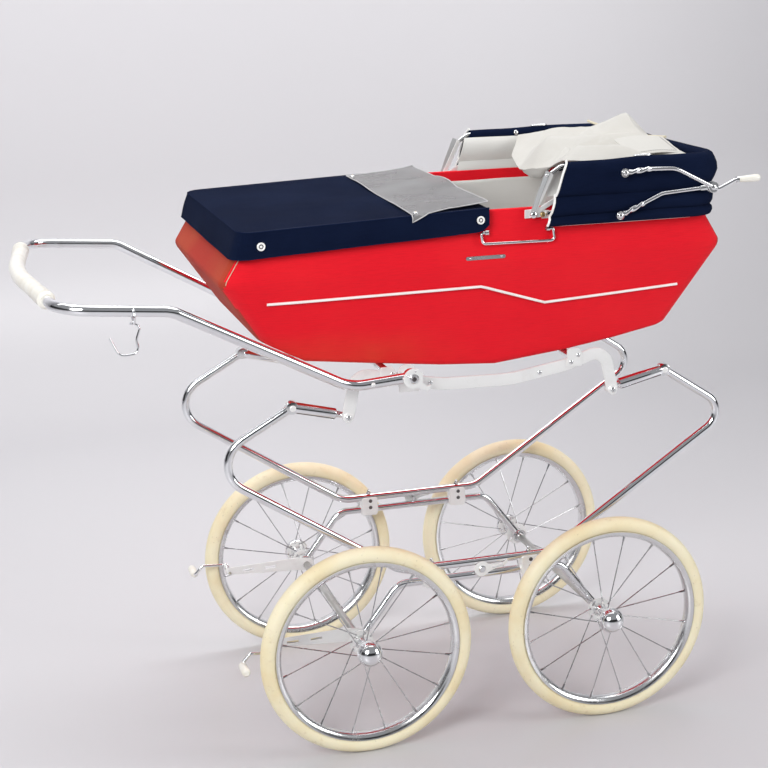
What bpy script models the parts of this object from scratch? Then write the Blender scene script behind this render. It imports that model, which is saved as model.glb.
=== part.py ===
"""Coach-built baby carriage: sprung chassis, lift-off carrycot, folding hood, apron and push handle.

Metres, +Z up, floor at Z = 0. The hood end is at +X, the push handle at -X, the left side at +Y.
The origin is on the floor under the middle of the overall length.
"""
import math

import bmesh
import bpy
from mathutils import Matrix, Vector

# ---------------------------------------------------------------- driving dimensions (metres)
MID = 0.1300                    # X of the point midway between the two axles
SIDES = {"left": 1.0, "right": -1.0}
GAP = 0.0003                    # clearance between touching pieces

WHEEL_RADIUS = 0.1775
HALF_WHEELBASE = 0.2111
WHEEL_Y = 0.233
TYRE_SECTION = 0.0138
WHEEL_SEGMENTS = 24
SPOKE_COUNT = 16
SPOKE_RADIUS = 0.0010

FRAME_Y = 0.187                 # plane of each side frame
SPRING_TUBE = 0.0070
AXLE_TUBE = 0.0065
SPRING_LOW_Z = 0.289
AXLE_TUBE_Z = 0.266
AXLE_CORE = 0.0050
AXLE_SLEEVE = 0.0060
CLAMP_X = 0.0855

KNUCKLE_REAR = (-0.3125, 0.5845)
KNUCKLE_FRONT = (0.3245, 0.5885)
SHACKLE_REAR = (-0.2250, 0.5630)
SHACKLE_FRONT = (0.2269, 0.5662)
CARRIER_Y = 0.200
CARRIER_THICK = 0.004
CARRIER_DEEP = 0.020
CROSS_X = 0.158

HANDLE_TUBE = 0.0085
HANDLE_PIVOT = (-0.1275, 0.6270)
HANDLE_END_Y = 0.228
HANDLE_EYE_HALF = 0.0096
GRIP_RADIUS = 0.0132
GRIP_SIDES = 8
HOOK_TOP = (-0.5690, 0.7640)
HOOK_Y = 0.2890
HOOK_WIRE = 0.0018

LATCH_MIDDLE = (0.0, 0.2775)
PEDAL_PIVOT = (-0.3570, 0.1830)
PEDAL_KNOB = (-0.4130, 0.1700)

HOOD_PIVOT = (0.0770, 0.8700)
BOW_Y = 0.2215
BOW_RADIUS = 0.0035
BOW_END_X = 0.3830
FABRIC_IN_Y = 0.2290
FABRIC_OUT_Y = 0.2365
STAY_LOW_Y = 0.2430
STAY_HIGH_Y = 0.2500
STAY_RADIUS = 0.0032
STAY_LOW_FOOT = (0.2170, 0.8627)
STAY_HIGH_FOOT = (0.2208, 0.9307)
ELBOW = (0.3740, 0.8990)
BAIL_Y = 0.2200
BAIL_Z = 0.8460
FLAP_HINGE = (0.0020, 0.8880)

COT_WALL = 0.008
COT_BOTTOM = [(-0.3545, 0.6875), (-0.2875, 0.6530), (-0.1750, 0.6395), (-0.0630, 0.6270),
              (0.0310, 0.6206), (0.1580, 0.6340), (0.2380, 0.6460), (0.3390, 0.6650)]
# level: half width, left end X, right end X, height at the left end, height at the right end
COT_CHINE = (0.2150, -0.4235, 0.4180, 0.7900, 0.8010)
COT_RIM = (0.2150, -0.3765, 0.3700, 0.8660, 0.8800)
COT_BOTTOM_HALF = 0.1750
COT_CORNER = 0.030

CHROME = ((0.80, 0.81, 0.83), 0.12, 1.0)
ALUMINIUM = ((0.78, 0.78, 0.77), 0.32, 1.0)
CREAM_RUBBER = ((0.90, 0.84, 0.62), 0.65, 0.0)
IVORY = ((0.90, 0.87, 0.78), 0.40, 0.0)
RED_CLOTH = ((0.75, 0.02, 0.04), 0.70, 0.0)
NAVY_CLOTH = ((0.012, 0.017, 0.050), 0.85, 0.0)
WHITE_CLOTH = ((0.88, 0.87, 0.84), 0.75, 0.0)
CLEAR_VINYL = ((0.55, 0.55, 0.57), 0.20, 0.0)


# ---------------------------------------------------------------- materials and bodies
def clear_scene():
    """Remove whatever the file holds."""
    for old in list(bpy.data.objects):
        bpy.data.objects.remove(old, do_unlink=True)


def finish(slot, look):
    """Return the Principled material called slot, made once."""
    found = bpy.data.materials.get(slot)
    if found:
        return found
    made = bpy.data.materials.new(slot)
    made.use_nodes = True
    colour, roughness, metallic = look
    shader = made.node_tree.nodes["Principled BSDF"]
    shader.inputs["Base Color"].default_value = (*colour, 1.0)
    shader.inputs["Roughness"].default_value = roughness
    shader.inputs["Metallic"].default_value = metallic
    return made


def body(name, shape, material):
    """Turn a closed bmesh into a named object with outward faces."""
    bmesh.ops.remove_doubles(shape, verts=shape.verts, dist=1e-6)
    bmesh.ops.recalc_face_normals(shape, faces=shape.faces)
    mesh = bpy.data.meshes.new(name)
    shape.to_mesh(mesh)
    shape.free()
    mesh.shade_smooth()
    mesh.set_sharp_from_angle(angle=math.radians(35))
    made = bpy.data.objects.new(name, mesh)
    bpy.context.scene.collection.objects.link(made)
    made.data.materials.append(material)
    return made


def combine(target, tool, operation):
    """Bake a Boolean of tool into target and delete the tool."""
    cut = target.modifiers.new("combine", "BOOLEAN")
    cut.operation = operation
    cut.object = tool
    cut.solver = "EXACT"
    bpy.context.view_layer.update()
    graph = bpy.context.evaluated_depsgraph_get()
    baked = bpy.data.meshes.new_from_object(target.evaluated_get(graph))
    target.modifiers.clear()
    target.data = baked
    bpy.data.objects.remove(tool, do_unlink=True)
    return target


def join(target, tools):
    """Union every tool into target."""
    for tool in tools:
        combine(target, tool, "UNION")
    return target


# ---------------------------------------------------------------- shapes
def side_point(side, x, y, z):
    """A point given from the axle midpoint, on the left or right side."""
    return Vector((x + MID, side * y, z))


def rounded(corners, steps=4):
    """Points of a path whose corners (point, radius) are replaced by arcs."""
    points = [corners[0][0]]
    for (before, _), (corner, radius), (after, _) in zip(corners, corners[1:], corners[2:]):
        into = (before - corner).normalized()
        out = (after - corner).normalized()
        half = into.angle(out) / 2
        if half > math.radians(89.9):
            points.append(corner)
            continue
        reach = radius / math.tan(half)
        centre = corner + (into + out).normalized() * (radius / math.sin(half))
        start = corner + into * reach - centre
        end = corner + out * reach - centre
        sweep = start.angle(end)
        for i in range(steps + 1):
            part = i / steps
            weight_a = math.sin((1 - part) * sweep) / math.sin(sweep)
            weight_b = math.sin(part * sweep) / math.sin(sweep)
            points.append(centre + start * weight_a + end * weight_b)
    points.append(corners[-1][0])
    return points


def tube(name, points, radius, material, resolution=2):
    """A round tube with closed ends along points."""
    curve = bpy.data.curves.new(name, "CURVE")
    curve.dimensions = "3D"
    curve.bevel_depth = radius
    curve.bevel_resolution = resolution
    curve.use_fill_caps = True
    spline = curve.splines.new("POLY")
    spline.points.add(len(points) - 1)
    for slot, point in zip(spline.points, points):
        slot.co = (*point, 1.0)
    made = bpy.data.objects.new(name, curve)
    bpy.context.scene.collection.objects.link(made)
    bpy.context.view_layer.update()
    graph = bpy.context.evaluated_depsgraph_get()
    baked = bpy.data.meshes.new_from_object(made.evaluated_get(graph))
    bpy.data.objects.remove(made, do_unlink=True)
    shape = bmesh.new()
    shape.from_mesh(baked)
    return body(name, shape, material)


def turned(name, profile, segments, centre, side, material, hollow=False):
    """Turn a profile of (outward, radius) about the Y axis through centre; hollow joins its ends."""
    shape = bmesh.new()
    widen = 1 / math.cos(math.pi / segments)
    rings = []
    for outward, radius in profile:
        if radius == 0:
            rings.append([shape.verts.new(centre + Vector((0, side * outward, 0)))])
            continue
        ring = []
        for i in range(segments):
            angle = 2 * math.pi * (i + 0.5) / segments
            across = Vector((math.sin(angle), 0, math.cos(angle))) * radius * widen
            ring.append(shape.verts.new(centre + across + Vector((0, side * outward, 0))))
        rings.append(ring)
    pairs = list(zip(rings, rings[1:]))
    if hollow:
        pairs.append((rings[-1], rings[0]))
    for low, high in pairs:
        for i in range(segments):
            j = (i + 1) % segments
            corners = [low[i % len(low)], low[j % len(low)], high[j % len(high)], high[i % len(high)]]
            shape.faces.new(list(dict.fromkeys(corners)))
    if not hollow:
        for ring in (rings[0], rings[-1]):
            if len(ring) > 1:
                shape.faces.new(ring)
    return body(name, shape, material)


def pin(name, centre, side, low, high, radius, material, segments=12):
    """A short round bar along Y, from low to high, given as distances from the middle plane."""
    middle = Vector((centre.x, 0, centre.z))
    return turned(name, [(low, radius), (high, radius)], segments, middle, side, material)


def prism(name, outline, side, low, high, material):
    """Extrude an outline of (x, z), given from the axle midpoint, along Y from low to high."""
    shape = bmesh.new()
    near = [shape.verts.new(side_point(side, x, low, z)) for x, z in outline]
    far = [shape.verts.new(side_point(side, x, high, z)) for x, z in outline]
    shape.faces.new(near)
    shape.faces.new(far)
    for i in range(len(near)):
        j = (i + 1) % len(near)
        shape.faces.new((near[i], near[j], far[j], far[i]))
    return body(name, shape, material)


def strap_outline(points, width):
    """Outline (x, z) of a strip of constant width along points in one upright plane."""
    left, right = [], []
    for i, point in enumerate(points):
        along = (points[min(i + 1, len(points) - 1)] - points[max(i - 1, 0)]).normalized()
        across = Vector((-along.z, 0, along.x)) * (width / 2)
        left.append(point + across)
        right.append(point - across)
    return [(p.x, p.z) for p in left + right[::-1]]


def flat_path(corners, steps=4):
    """Rounded path in the middle plane from corners of (x, z, radius)."""
    return rounded([(Vector((x, 0, z)), radius) for x, z, radius in corners], steps)


def sided(points, side, y):
    """Move a middle-plane path out to one side."""
    return [side_point(side, p.x, y, p.z) for p in points]


def disc_outline(centre, radius, start=0.0, end=360.0, steps=16):
    """Points (x, z) of an arc about centre; a full turn leaves out the repeated last point."""
    count = steps if end - start >= 360 else steps + 1
    turn = [math.radians(start + (end - start) * i / steps) for i in range(count)]
    return [(centre[0] + radius * math.cos(a), centre[1] + radius * math.sin(a)) for a in turn]


# ---------------------------------------------------------------- wheels
def wheel_centre(end, side):
    """Middle of one wheel."""
    return Vector((MID + end * HALF_WHEELBASE, side * WHEEL_Y, WHEEL_RADIUS))


def build_tyre(name, centre, side):
    """Solid rubber tyre: an eight-sided section with a flat tread."""
    ring = WHEEL_RADIUS - TYRE_SECTION
    reach = TYRE_SECTION / math.cos(math.pi / 8)
    profile = []
    for i in range(8):
        angle = math.pi * (i + 0.5) / 4
        profile.append((reach * math.sin(angle), ring + reach * math.cos(angle)))
    turned(name, profile, WHEEL_SEGMENTS, centre, side, finish("tyre", CREAM_RUBBER), hollow=True)


def build_wheel(name, centre, side):
    """Rim, hub and spokes as one laced wheel."""
    bed = WHEEL_RADIUS - 2 * TYRE_SECTION - GAP
    chrome = finish("chrome", CHROME)
    rim = [(-0.0120, bed + 0.0035), (-0.0058, bed), (0.0058, bed), (0.0120, bed + 0.0035),
           (0.0090, bed - 0.0040), (-0.0090, bed - 0.0040)]
    wheel = turned(name, rim, WHEEL_SEGMENTS, centre, side, chrome, hollow=True)
    bore, barrel, flange = AXLE_CORE + GAP, 0.0100, 0.0200
    inner, outer, thick = -0.0370, 0.0120, 0.0025
    hub = [(inner, bore), (inner, flange), (inner + thick, flange), (inner + thick, barrel),
           (outer - thick, barrel), (outer - thick, flange), (outer, flange), (outer, bore)]
    hub_body = turned("hub", hub, 12, centre, side, chrome, hollow=True)
    spokes = []
    for i in range(SPOKE_COUNT):
        angle = 2 * math.pi * (i + 0.25) / SPOKE_COUNT
        across = Vector((math.sin(angle), 0, math.cos(angle)))
        start_out = inner + thick / 2 if i % 2 else outer - thick / 2
        foot = centre + across * 0.0170 + Vector((0, side * start_out, 0))
        tip = centre + across * (bed - 0.0020)
        spokes.append(tube("spoke", [foot, tip], SPOKE_RADIUS, chrome, 0))
    join(wheel, [hub_body] + spokes)


def build_hub_cap(name, centre, side):
    """Ball-shaped cap over the outer end of the hub."""
    radius, start = 0.0215, 0.0123
    profile = [(start, radius * 0.95)]
    for i in range(1, 5):
        angle = math.pi / 2 * i / 4
        profile.append((start + 0.003 + radius * math.sin(angle), radius * math.cos(angle) if i < 4 else 0))
    turned(name, profile, 12, centre, side, finish("chrome", CHROME))


def build_wheels():
    """Four wheels, each a tyre, a laced wheel and a cap."""
    for end_name, end in (("front", 1), ("rear", -1)):
        for side_name, side in SIDES.items():
            centre = wheel_centre(end, side)
            build_tyre(f"tyre_{end_name}_{side_name}", centre, side)
            build_wheel(f"wheel_{end_name}_{side_name}", centre, side)
            build_hub_cap(f"hub_cap_{end_name}_{side_name}", centre, side)


# ---------------------------------------------------------------- chassis
def build_cross_axle(name, end):
    """Axle from hub to hub, thicker between the side frames."""
    centre = Vector((MID + end * HALF_WHEELBASE, 0, WHEEL_RADIUS))
    tip, shoulder = WHEEL_Y + 0.0120, FRAME_Y - 0.0073
    profile = [(-tip, AXLE_CORE), (-shoulder, AXLE_CORE), (-shoulder, AXLE_SLEEVE),
               (shoulder, AXLE_SLEEVE), (shoulder, AXLE_CORE), (tip, AXLE_CORE)]
    turned(name, profile, 12, centre, 1, finish("satin_steel", ALUMINIUM))


def build_spring_tube(name, side):
    """Long bent tube that carries the cot at its two upward ends."""
    corners = [(*KNUCKLE_REAR, 0), (-0.4613, 0.5013, 0.047), (-0.1370, SPRING_LOW_Z, 0.060),
               (0.1222, SPRING_LOW_Z, 0.050), (0.4501, 0.5059, 0.033), (*KNUCKLE_FRONT, 0)]
    points = flat_path(corners)
    clear = 0.0104
    points[0] = points[0] + (points[1] - points[0]).normalized() * clear
    points[-1] = points[-1] + (points[-2] - points[-1]).normalized() * clear
    tube(name, sided(points, side, FRAME_Y), SPRING_TUBE, finish("chrome", CHROME))


def build_axle_tube(name, side):
    """Lower tube from axle to axle, with an eye round each axle."""
    chrome = finish("chrome", CHROME)
    hub = (HALF_WHEELBASE, WHEEL_RADIUS)
    corners = [(-hub[0], hub[1], 0), (-0.1430, AXLE_TUBE_Z, 0.030), (0.1430, AXLE_TUBE_Z, 0.030),
               (hub[0], hub[1], 0)]
    points = flat_path(corners)
    points[0] = points[0] + (points[1] - points[0]).normalized() * 0.0085
    points[-1] = points[-1] + (points[-2] - points[-1]).normalized() * 0.0085
    made = tube(name, sided(points, side, FRAME_Y), AXLE_TUBE, chrome)
    for end in (-1, 1):
        centre = side_point(side, end * hub[0], FRAME_Y, hub[1])
        combine(made, pin("eye", centre, side, FRAME_Y - 0.0070, FRAME_Y + 0.0070, 0.0125, chrome), "UNION")
        combine(made, pin("bore", centre, side, FRAME_Y - 0.02, FRAME_Y + 0.02, AXLE_CORE + GAP, chrome),
                "DIFFERENCE")


def build_clamp(name, end, side):
    """Plate clamp that holds the spring tube to the axle tube."""
    alloy = finish("alloy", ALUMINIUM)
    x = end * CLAMP_X
    low, high, half = AXLE_TUBE_Z - 0.0105, SPRING_LOW_Z + 0.0110, 0.0150
    outline = [(x - half, low), (x + half, low), (x + half, high - 0.004), (x + half - 0.004, high),
               (x - half + 0.004, high), (x - half, high - 0.004)]
    made = prism(name, outline, side, FRAME_Y - 0.0092, FRAME_Y + 0.0092, alloy)
    for z, radius in ((SPRING_LOW_Z, SPRING_TUBE), (AXLE_TUBE_Z, AXLE_TUBE)):
        ends = [side_point(side, x - 0.03, FRAME_Y, z), side_point(side, x + 0.03, FRAME_Y, z)]
        combine(made, tube("bore", ends, radius + GAP, alloy), "DIFFERENCE")
    stud = turned("stud", [(0, 0.0025), (0.0060, 0.0025)], 8, Vector((0, 0, 0)), 1, alloy)
    stud.data.transform(upright(side_point(side, x, FRAME_Y, high - 0.0005)))
    combine(made, stud, "UNION")


def upright(place):
    """Matrix that turns the Y axis upright and moves it to place."""
    return Matrix.Translation(place) @ Matrix.Rotation(math.pi / 2, 4, "X")


def build_fold_latch(name, side):
    """Round latch plate with a hooked tail, on a pin between the two tubes."""
    alloy = finish("alloy", ALUMINIUM)
    middle = LATCH_MIDDLE
    plate = disc_outline(middle, 0.0130, 35, 325)
    tail = [(0.0300, middle[1] - 0.0005), (0.0430, middle[1] + 0.0050), (0.0460, middle[1] + 0.0120),
            (0.0420, middle[1] + 0.0110), (0.0280, middle[1] + 0.0065)]
    face = FRAME_Y + SPRING_TUBE + 0.0008
    made = prism(name, plate + tail, side, face, face + 0.0030, alloy)
    centre = side_point(side, middle[0], 0, middle[1])
    combine(made, pin("peg", centre, side, FRAME_Y - 0.0060, face + 0.0055, 0.0040, alloy), "UNION")


def build_shackle(name, knuckle, eye, side):
    """Round sleeve link from a spring tube's end to the end of a carrier."""
    chrome = finish("chrome", CHROME)
    start = side_point(side, knuckle[0], FRAME_Y, knuckle[1])
    end = side_point(side, eye[0], FRAME_Y, eye[1])
    along = (end - start).normalized()
    made = tube(name, [start + along * 0.004, end - along * 0.016], 0.0090, chrome)
    shank = tube("shank", [end - along * 0.018, end], 0.0045, chrome)
    ball = pin("ball", start, side, FRAME_Y - 0.0080, FRAME_Y + 0.0080, 0.0098, chrome)
    ring = pin("ring", end, side, FRAME_Y - 0.0040, CARRIER_Y - CARRIER_THICK / 2 - GAP, 0.0078, chrome)
    join(made, [shank, ball, ring])


def build_carrier(name, side):
    """Curved flat bar beside the cot, with two upright brackets and a down-turned end each way."""
    alloy = finish("alloy", ALUMINIUM)
    corners = [(*SHACKLE_REAR, 0), (-0.2105, 0.6320, 0.022), (-0.0716, 0.6031, 0.250),
               (0.0475, 0.6000, 0.250), (0.1430, 0.6150, 0.200), (0.2120, 0.6360, 0.024),
               (*SHACKLE_FRONT, 0)]
    outline = strap_outline(flat_path(corners, 3), CARRIER_DEEP)
    low, high = CARRIER_Y - CARRIER_THICK / 2, CARRIER_Y + CARRIER_THICK / 2
    made = prism(name, outline, side, low, high, alloy)
    for end, base in ((-1, 0.6090), (1, 0.6120)):
        x = end * CROSS_X
        plate = [(x - 0.0130, base), (x + 0.0130, base), (x + 0.0130, base + 0.0230),
                 (x + 0.0060, base + 0.0310), (x - 0.0130, base + 0.0310)]
        combine(made, prism("bracket", plate, side, low, high + 0.0030, alloy), "UNION")
    for end in (SHACKLE_REAR, SHACKLE_FRONT):
        boss = pin("boss", side_point(side, end[0], 0, end[1]), side, low, high + 0.0022, 0.0075, alloy)
        combine(made, boss, "UNION")


def build_cross_tube(name, end, z):
    """Tube under the cot that joins the two carriers."""
    reach = CARRIER_Y - CARRIER_THICK / 2 - GAP
    ends = [side_point(1, end * CROSS_X, -reach, z), side_point(1, end * CROSS_X, reach, z)]
    tube(name, ends, 0.0065, finish("chrome", CHROME))


def build_brake_arm(name, side):
    """Tapered flat arm that reaches back from the rear axle."""
    alloy = finish("alloy", ALUMINIUM)
    hub = (-HALF_WHEELBASE, WHEEL_RADIUS)
    outline = disc_outline(hub, 0.0140, -60, 60, 8)
    outline += [(-0.2300, 0.1930), (-0.3480, 0.1900)]
    outline += disc_outline(PEDAL_PIVOT, 0.0060, 90, 270, 4)
    outline += [(-0.3480, 0.1760), (-0.2300, 0.1690)]
    made = prism(name, outline, side, 0.1690, 0.1720, alloy)
    for point, radius in ((hub, AXLE_SLEEVE + 0.0005), (PEDAL_PIVOT, 0.0030 + GAP)):
        centre = side_point(side, point[0], 0, point[1])
        combine(made, pin("bore", centre, side, 0.15, 0.19, radius, alloy), "DIFFERENCE")


def build_brake_pedal(name, side):
    """Cranked wire on a pivot behind the arm, with a round foot knob that points outwards."""
    chrome = finish("chrome", CHROME)
    (x, z), (knob_x, knob_z) = PEDAL_PIVOT, PEDAL_KNOB
    path = [Vector((x, 0.1600, z)), Vector((x, 0.2050, z)), Vector((-0.3990, 0.2050, 0.1860)),
            Vector((knob_x, 0.2050, knob_z)), Vector((knob_x, 0.2350, knob_z))]
    radii = [0, 0.006, 0.007, 0.006, 0]
    placed = [side_point(side, p.x, p.y, p.z) for p in path]
    made = tube(name, rounded(list(zip(placed, radii)), 3), 0.0028, chrome)
    knob = turned("knob", [(0.2080, 0.0055), (0.2110, 0.0068), (0.2400, 0.0068), (0.2430, 0.0050)], 10,
                  side_point(1, knob_x, 0, knob_z), side, finish("ivory", IVORY))
    combine(made, knob, "UNION")


def build_chassis():
    """Everything between the wheels and the cot."""
    build_cross_axle("axle_front", 1)
    build_cross_axle("axle_rear", -1)
    build_cross_tube("cross_tube_front", 1, 0.6262)
    build_cross_tube("cross_tube_rear", -1, 0.6300)
    for side_name, side in SIDES.items():
        build_spring_tube(f"spring_tube_{side_name}", side)
        build_axle_tube(f"axle_tube_{side_name}", side)
        build_clamp(f"frame_clamp_front_{side_name}", 1, side)
        build_clamp(f"frame_clamp_rear_{side_name}", -1, side)
        build_fold_latch(f"frame_latch_{side_name}", side)
        build_shackle(f"shackle_rear_{side_name}", KNUCKLE_REAR, SHACKLE_REAR, side)
        build_shackle(f"shackle_front_{side_name}", KNUCKLE_FRONT, SHACKLE_FRONT, side)
        build_carrier(f"carrier_{side_name}", side)
        build_brake_arm(f"brake_arm_{side_name}", side)
        build_brake_pedal(f"brake_pedal_{side_name}", side)


# ---------------------------------------------------------------- handle
def handle_half(side):
    """Corners of one half of the handle tube, from its pivot eye to the middle of the cross bar."""
    return [(side_point(side, HANDLE_PIVOT[0], HANDLE_END_Y, HANDLE_PIVOT[1]), 0),
            (side_point(side, -0.2290, 0.2340, 0.6215), 0.040),
            (side_point(side, -0.5100, 0.2890, 0.7765), 0.045),
            (side_point(side, -0.6720, 0.2830, 0.7900), 0.055)]


def handle_path():
    """Centre line of the whole handle tube, from the right-hand pivot to the left-hand one."""
    middle = (side_point(1, -0.7080, 0, 0.7940), 0.600)
    return rounded(handle_half(-1) + [middle] + handle_half(1)[::-1], 4)


def bar_centre(path, y):
    """Point of the handle's cross bar at y."""
    for a, b in zip(path, path[1:]):
        if a.y <= y <= b.y and a.x < MID - 0.66:
            return a + (b - a) * ((y - a.y) / (b.y - a.y))
    return path[len(path) // 2]


def build_handle():
    """U-shaped push handle in one bent tube, its grip, pivots and a shopping hook."""
    chrome = finish("chrome", CHROME)
    path = handle_path()
    made = tube("handle_tube", path, HANDLE_TUBE, chrome)
    for side_name, side in SIDES.items():
        centre = side_point(side, HANDLE_PIVOT[0], 0, HANDLE_PIVOT[1])
        low, high = HANDLE_END_Y - HANDLE_EYE_HALF, HANDLE_END_Y + HANDLE_EYE_HALF
        combine(made, pin("eye", centre, side, low, high, 0.0120, chrome), "UNION")
        bore = pin("bore", centre, side, low - 0.01, high + 0.01, 0.0050 + GAP, chrome)
        combine(made, bore, "DIFFERENCE")
        build_handle_pivot(f"handle_pivot_{side_name}", centre, side)
    build_grip(path)
    build_hook()


def build_handle_pivot(name, centre, side):
    """Plate on the carrier, the pin through the handle's eye, and the hooked washer outside it."""
    alloy = finish("alloy", ALUMINIUM)
    low = CARRIER_Y + CARRIER_THICK / 2 + GAP
    x, z = HANDLE_PIVOT
    plate = [(x - 0.0130, z - 0.0300), (x + 0.0210, z - 0.0300), (x + 0.0210, z - 0.0120)]
    plate += disc_outline((x, z), 0.0150, -10, 190, 10)
    made = prism(name, plate, side, low, low + 0.0030, alloy)
    face = HANDLE_END_Y + HANDLE_EYE_HALF + GAP
    washer = disc_outline((x, z), 0.0165, 0, 270, 14) + [(x + 0.0170, z - 0.0230), (x + 0.0230, z - 0.0130)]
    outer = prism("washer", washer, side, face, face + 0.0028, alloy)
    core = pin("core", centre, side, low + 0.0010, face + 0.0050, 0.0050, alloy)
    join(made, [core, outer])


def build_grip(path):
    """Moulded grip sleeve with a row of ribs at each end, round the handle's cross bar."""
    reach, ribbed, pitch, lift = 0.2150, 0.0360, 0.0120, 0.0016
    shape = bmesh.new()
    stops = [(-reach, 0)]
    for i in range(int(ribbed / pitch)):
        low = -reach + i * pitch
        stops += [(low + 0.0030, lift), (low + pitch - 0.0020, 0)]
    stops += [(y, 0) for y in (-0.084, -0.042, 0.0)]
    stops += [(-y, rise) for y, rise in stops[-2::-1]]
    rings = []
    for y, rise in stops:
        centre = bar_centre(path, y)
        outer = [centre + spoke * (GRIP_RADIUS + rise) for spoke in spokes_xz(GRIP_SIDES)]
        inner = [centre + spoke * (HANDLE_TUBE + 0.0018) for spoke in spokes_xz(GRIP_SIDES)]
        rings.append(([shape.verts.new(p) for p in outer], [shape.verts.new(p) for p in inner]))
    for (low_out, low_in), (high_out, high_in) in zip(rings, rings[1:]):
        bridge(shape, low_out, high_out)
        bridge(shape, low_in, high_in)
    for outer, inner in (rings[0], rings[-1]):
        bridge(shape, outer, inner)
    body("handle_grip", shape, finish("ivory", IVORY))


def spokes_xz(count):
    """Unit vectors spread evenly about the Y axis."""
    turns = [2 * math.pi * i / count for i in range(count)]
    return [Vector((math.cos(a), 0, math.sin(a))) for a in turns]


def bridge(shape, low, high):
    """Faces between two rings with the same number of points."""
    for i in range(len(low)):
        j = (i + 1) % len(low)
        shape.faces.new((low[i], low[j], high[j], high[i]))


def build_hook():
    """Bent wire hook under the right-hand tube."""
    corners = [(HOOK_TOP[0] - 0.0035, HOOK_TOP[1], 0), (-0.5560, 0.7600, 0.008), (-0.5640, 0.7380, 0.020),
               (-0.5590, 0.7180, 0.010), (-0.5900, 0.7160, 0.014), (-0.6020, 0.7440, 0)]
    points = sided(flat_path(corners, 4), -1, HOOK_Y)
    tube("bag_hook", points, HOOK_WIRE, finish("chrome", CHROME), 1)


# ---------------------------------------------------------------- carrycot
def bottom_height(x):
    """Height of the cot's bottom edge at x."""
    for (x0, z0), (x1, z1) in zip(COT_BOTTOM, COT_BOTTOM[1:]):
        if x <= x1:
            return z0 + (z1 - z0) * (max(x, x0) - x0) / (x1 - x0)
    return COT_BOTTOM[-1][1]


def cot_level(level):
    """Half width, ends and height rule at a level: 0 bottom edge, 1 chine, 2 rim."""
    left, right = COT_BOTTOM[0][0], COT_BOTTOM[-1][0]
    base = (COT_BOTTOM_HALF, left, right)
    chine, rim = COT_CHINE, COT_RIM
    low, high = (base, chine[:3]) if level <= 1 else (chine[:3], rim[:3])
    part = level if level <= 1 else level - 1
    half, start, end = (a + (b - a) * part for a, b in zip(low, high))

    def height(fraction):
        at_base = bottom_height(left + (right - left) * fraction)
        at_chine = chine[3] + (chine[4] - chine[3]) * fraction
        at_rim = rim[3] + (rim[4] - rim[3]) * min(1.0, fraction * 2)
        if level <= 1:
            return at_base + (at_chine - at_base) * level
        return at_chine + (at_rim - at_chine) * (level - 1)

    return half, start, end, height


def cot_half_ring(level, inset=0.0, lift=0.0, flat=None):
    """Near half of a cot ring, from the left end to the right end."""
    half, start, end, height = cot_level(level)
    radius = max(COT_CORNER - inset, 0.008)
    half, start, end = half - inset, start + inset, end - inset
    plan = []
    for i in range(4):
        angle = math.radians(180 + 30 * i)
        plan.append((start + radius + radius * math.cos(angle), -half + radius + radius * math.sin(angle)))
    first, last = COT_BOTTOM[0][0], COT_BOTTOM[-1][0]
    for x, _ in COT_BOTTOM[1:-1]:
        part = (x - first) / (last - first)
        plan.append((start + (end - start) * part, -half))
    for i in range(4):
        angle = math.radians(270 + 30 * i)
        plan.append((end - radius + radius * math.cos(angle), -half + radius + radius * math.sin(angle)))
    points = []
    for x, y in plan:
        fraction = (x - start) / (end - start)
        z = height(fraction) + lift if flat is None else flat
        points.append(side_point(1, x, y, z))
    return points


def loft(name, halves, material, closed=False):
    """Skin a stack of mirrored half rings; the first and last are capped, or joined when closed."""
    shape = bmesh.new()
    rings = []
    for half in halves:
        near = [shape.verts.new(p) for p in half]
        far = [shape.verts.new(Vector((p.x, -p.y, p.z))) for p in half]
        rings.append((near, far))
    pairs = list(zip(rings, rings[1:]))
    if closed:
        pairs.append((rings[-1], rings[0]))
    for (near_a, far_a), (near_b, far_b) in pairs:
        bridge(shape, near_a + far_a[::-1], near_b + far_b[::-1])
    if not closed:
        for near, far in (rings[0], rings[-1]):
            for i in range(len(near) - 1):
                shape.faces.new((near[i], near[i + 1], far[i + 1], far[i]))
    return body(name, shape, material)


def build_cot():
    """Boat-shaped cot: hollow shell, inner lining, mattress, side mouldings and carrying bails."""
    wall = COT_WALL
    shell = [cot_half_ring(0), cot_half_ring(1), cot_half_ring(2), cot_half_ring(2, wall),
             cot_half_ring(1, wall), cot_half_ring(0.06, wall)]
    loft("cot_shell", shell, finish("red_cloth", RED_CLOTH))
    clear, thick = wall + 0.0045, 0.0050
    levels = (0.40, 1.0, 1.70)
    lining = [cot_half_ring(level, clear) for level in levels]
    lining += [cot_half_ring(level, clear + thick) for level in reversed(levels)]
    white = finish("white_cloth", WHITE_CLOTH)
    loft("cot_lining", lining, white, closed=True)
    mattress = [cot_half_ring(0, 0.014, 0.0110), cot_half_ring(0.30, 0.024, flat=0.7060)]
    loft("mattress", mattress, white)
    for side_name, side in SIDES.items():
        build_moulding(f"side_moulding_{side_name}", side)
        build_bail(f"carry_bail_{side_name}", side)


def cot_side(x, z):
    """Half width of the cot's side below the chine, at x and z."""
    part = (x - COT_BOTTOM[0][0]) / (COT_BOTTOM[-1][0] - COT_BOTTOM[0][0])
    low = bottom_height(x)
    high = COT_CHINE[3] + (COT_CHINE[4] - COT_CHINE[3]) * min(max(part, 0), 1)
    return COT_BOTTOM_HALF + (COT_CHINE[0] - COT_BOTTOM_HALF) * (z - low) / (high - low)


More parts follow.
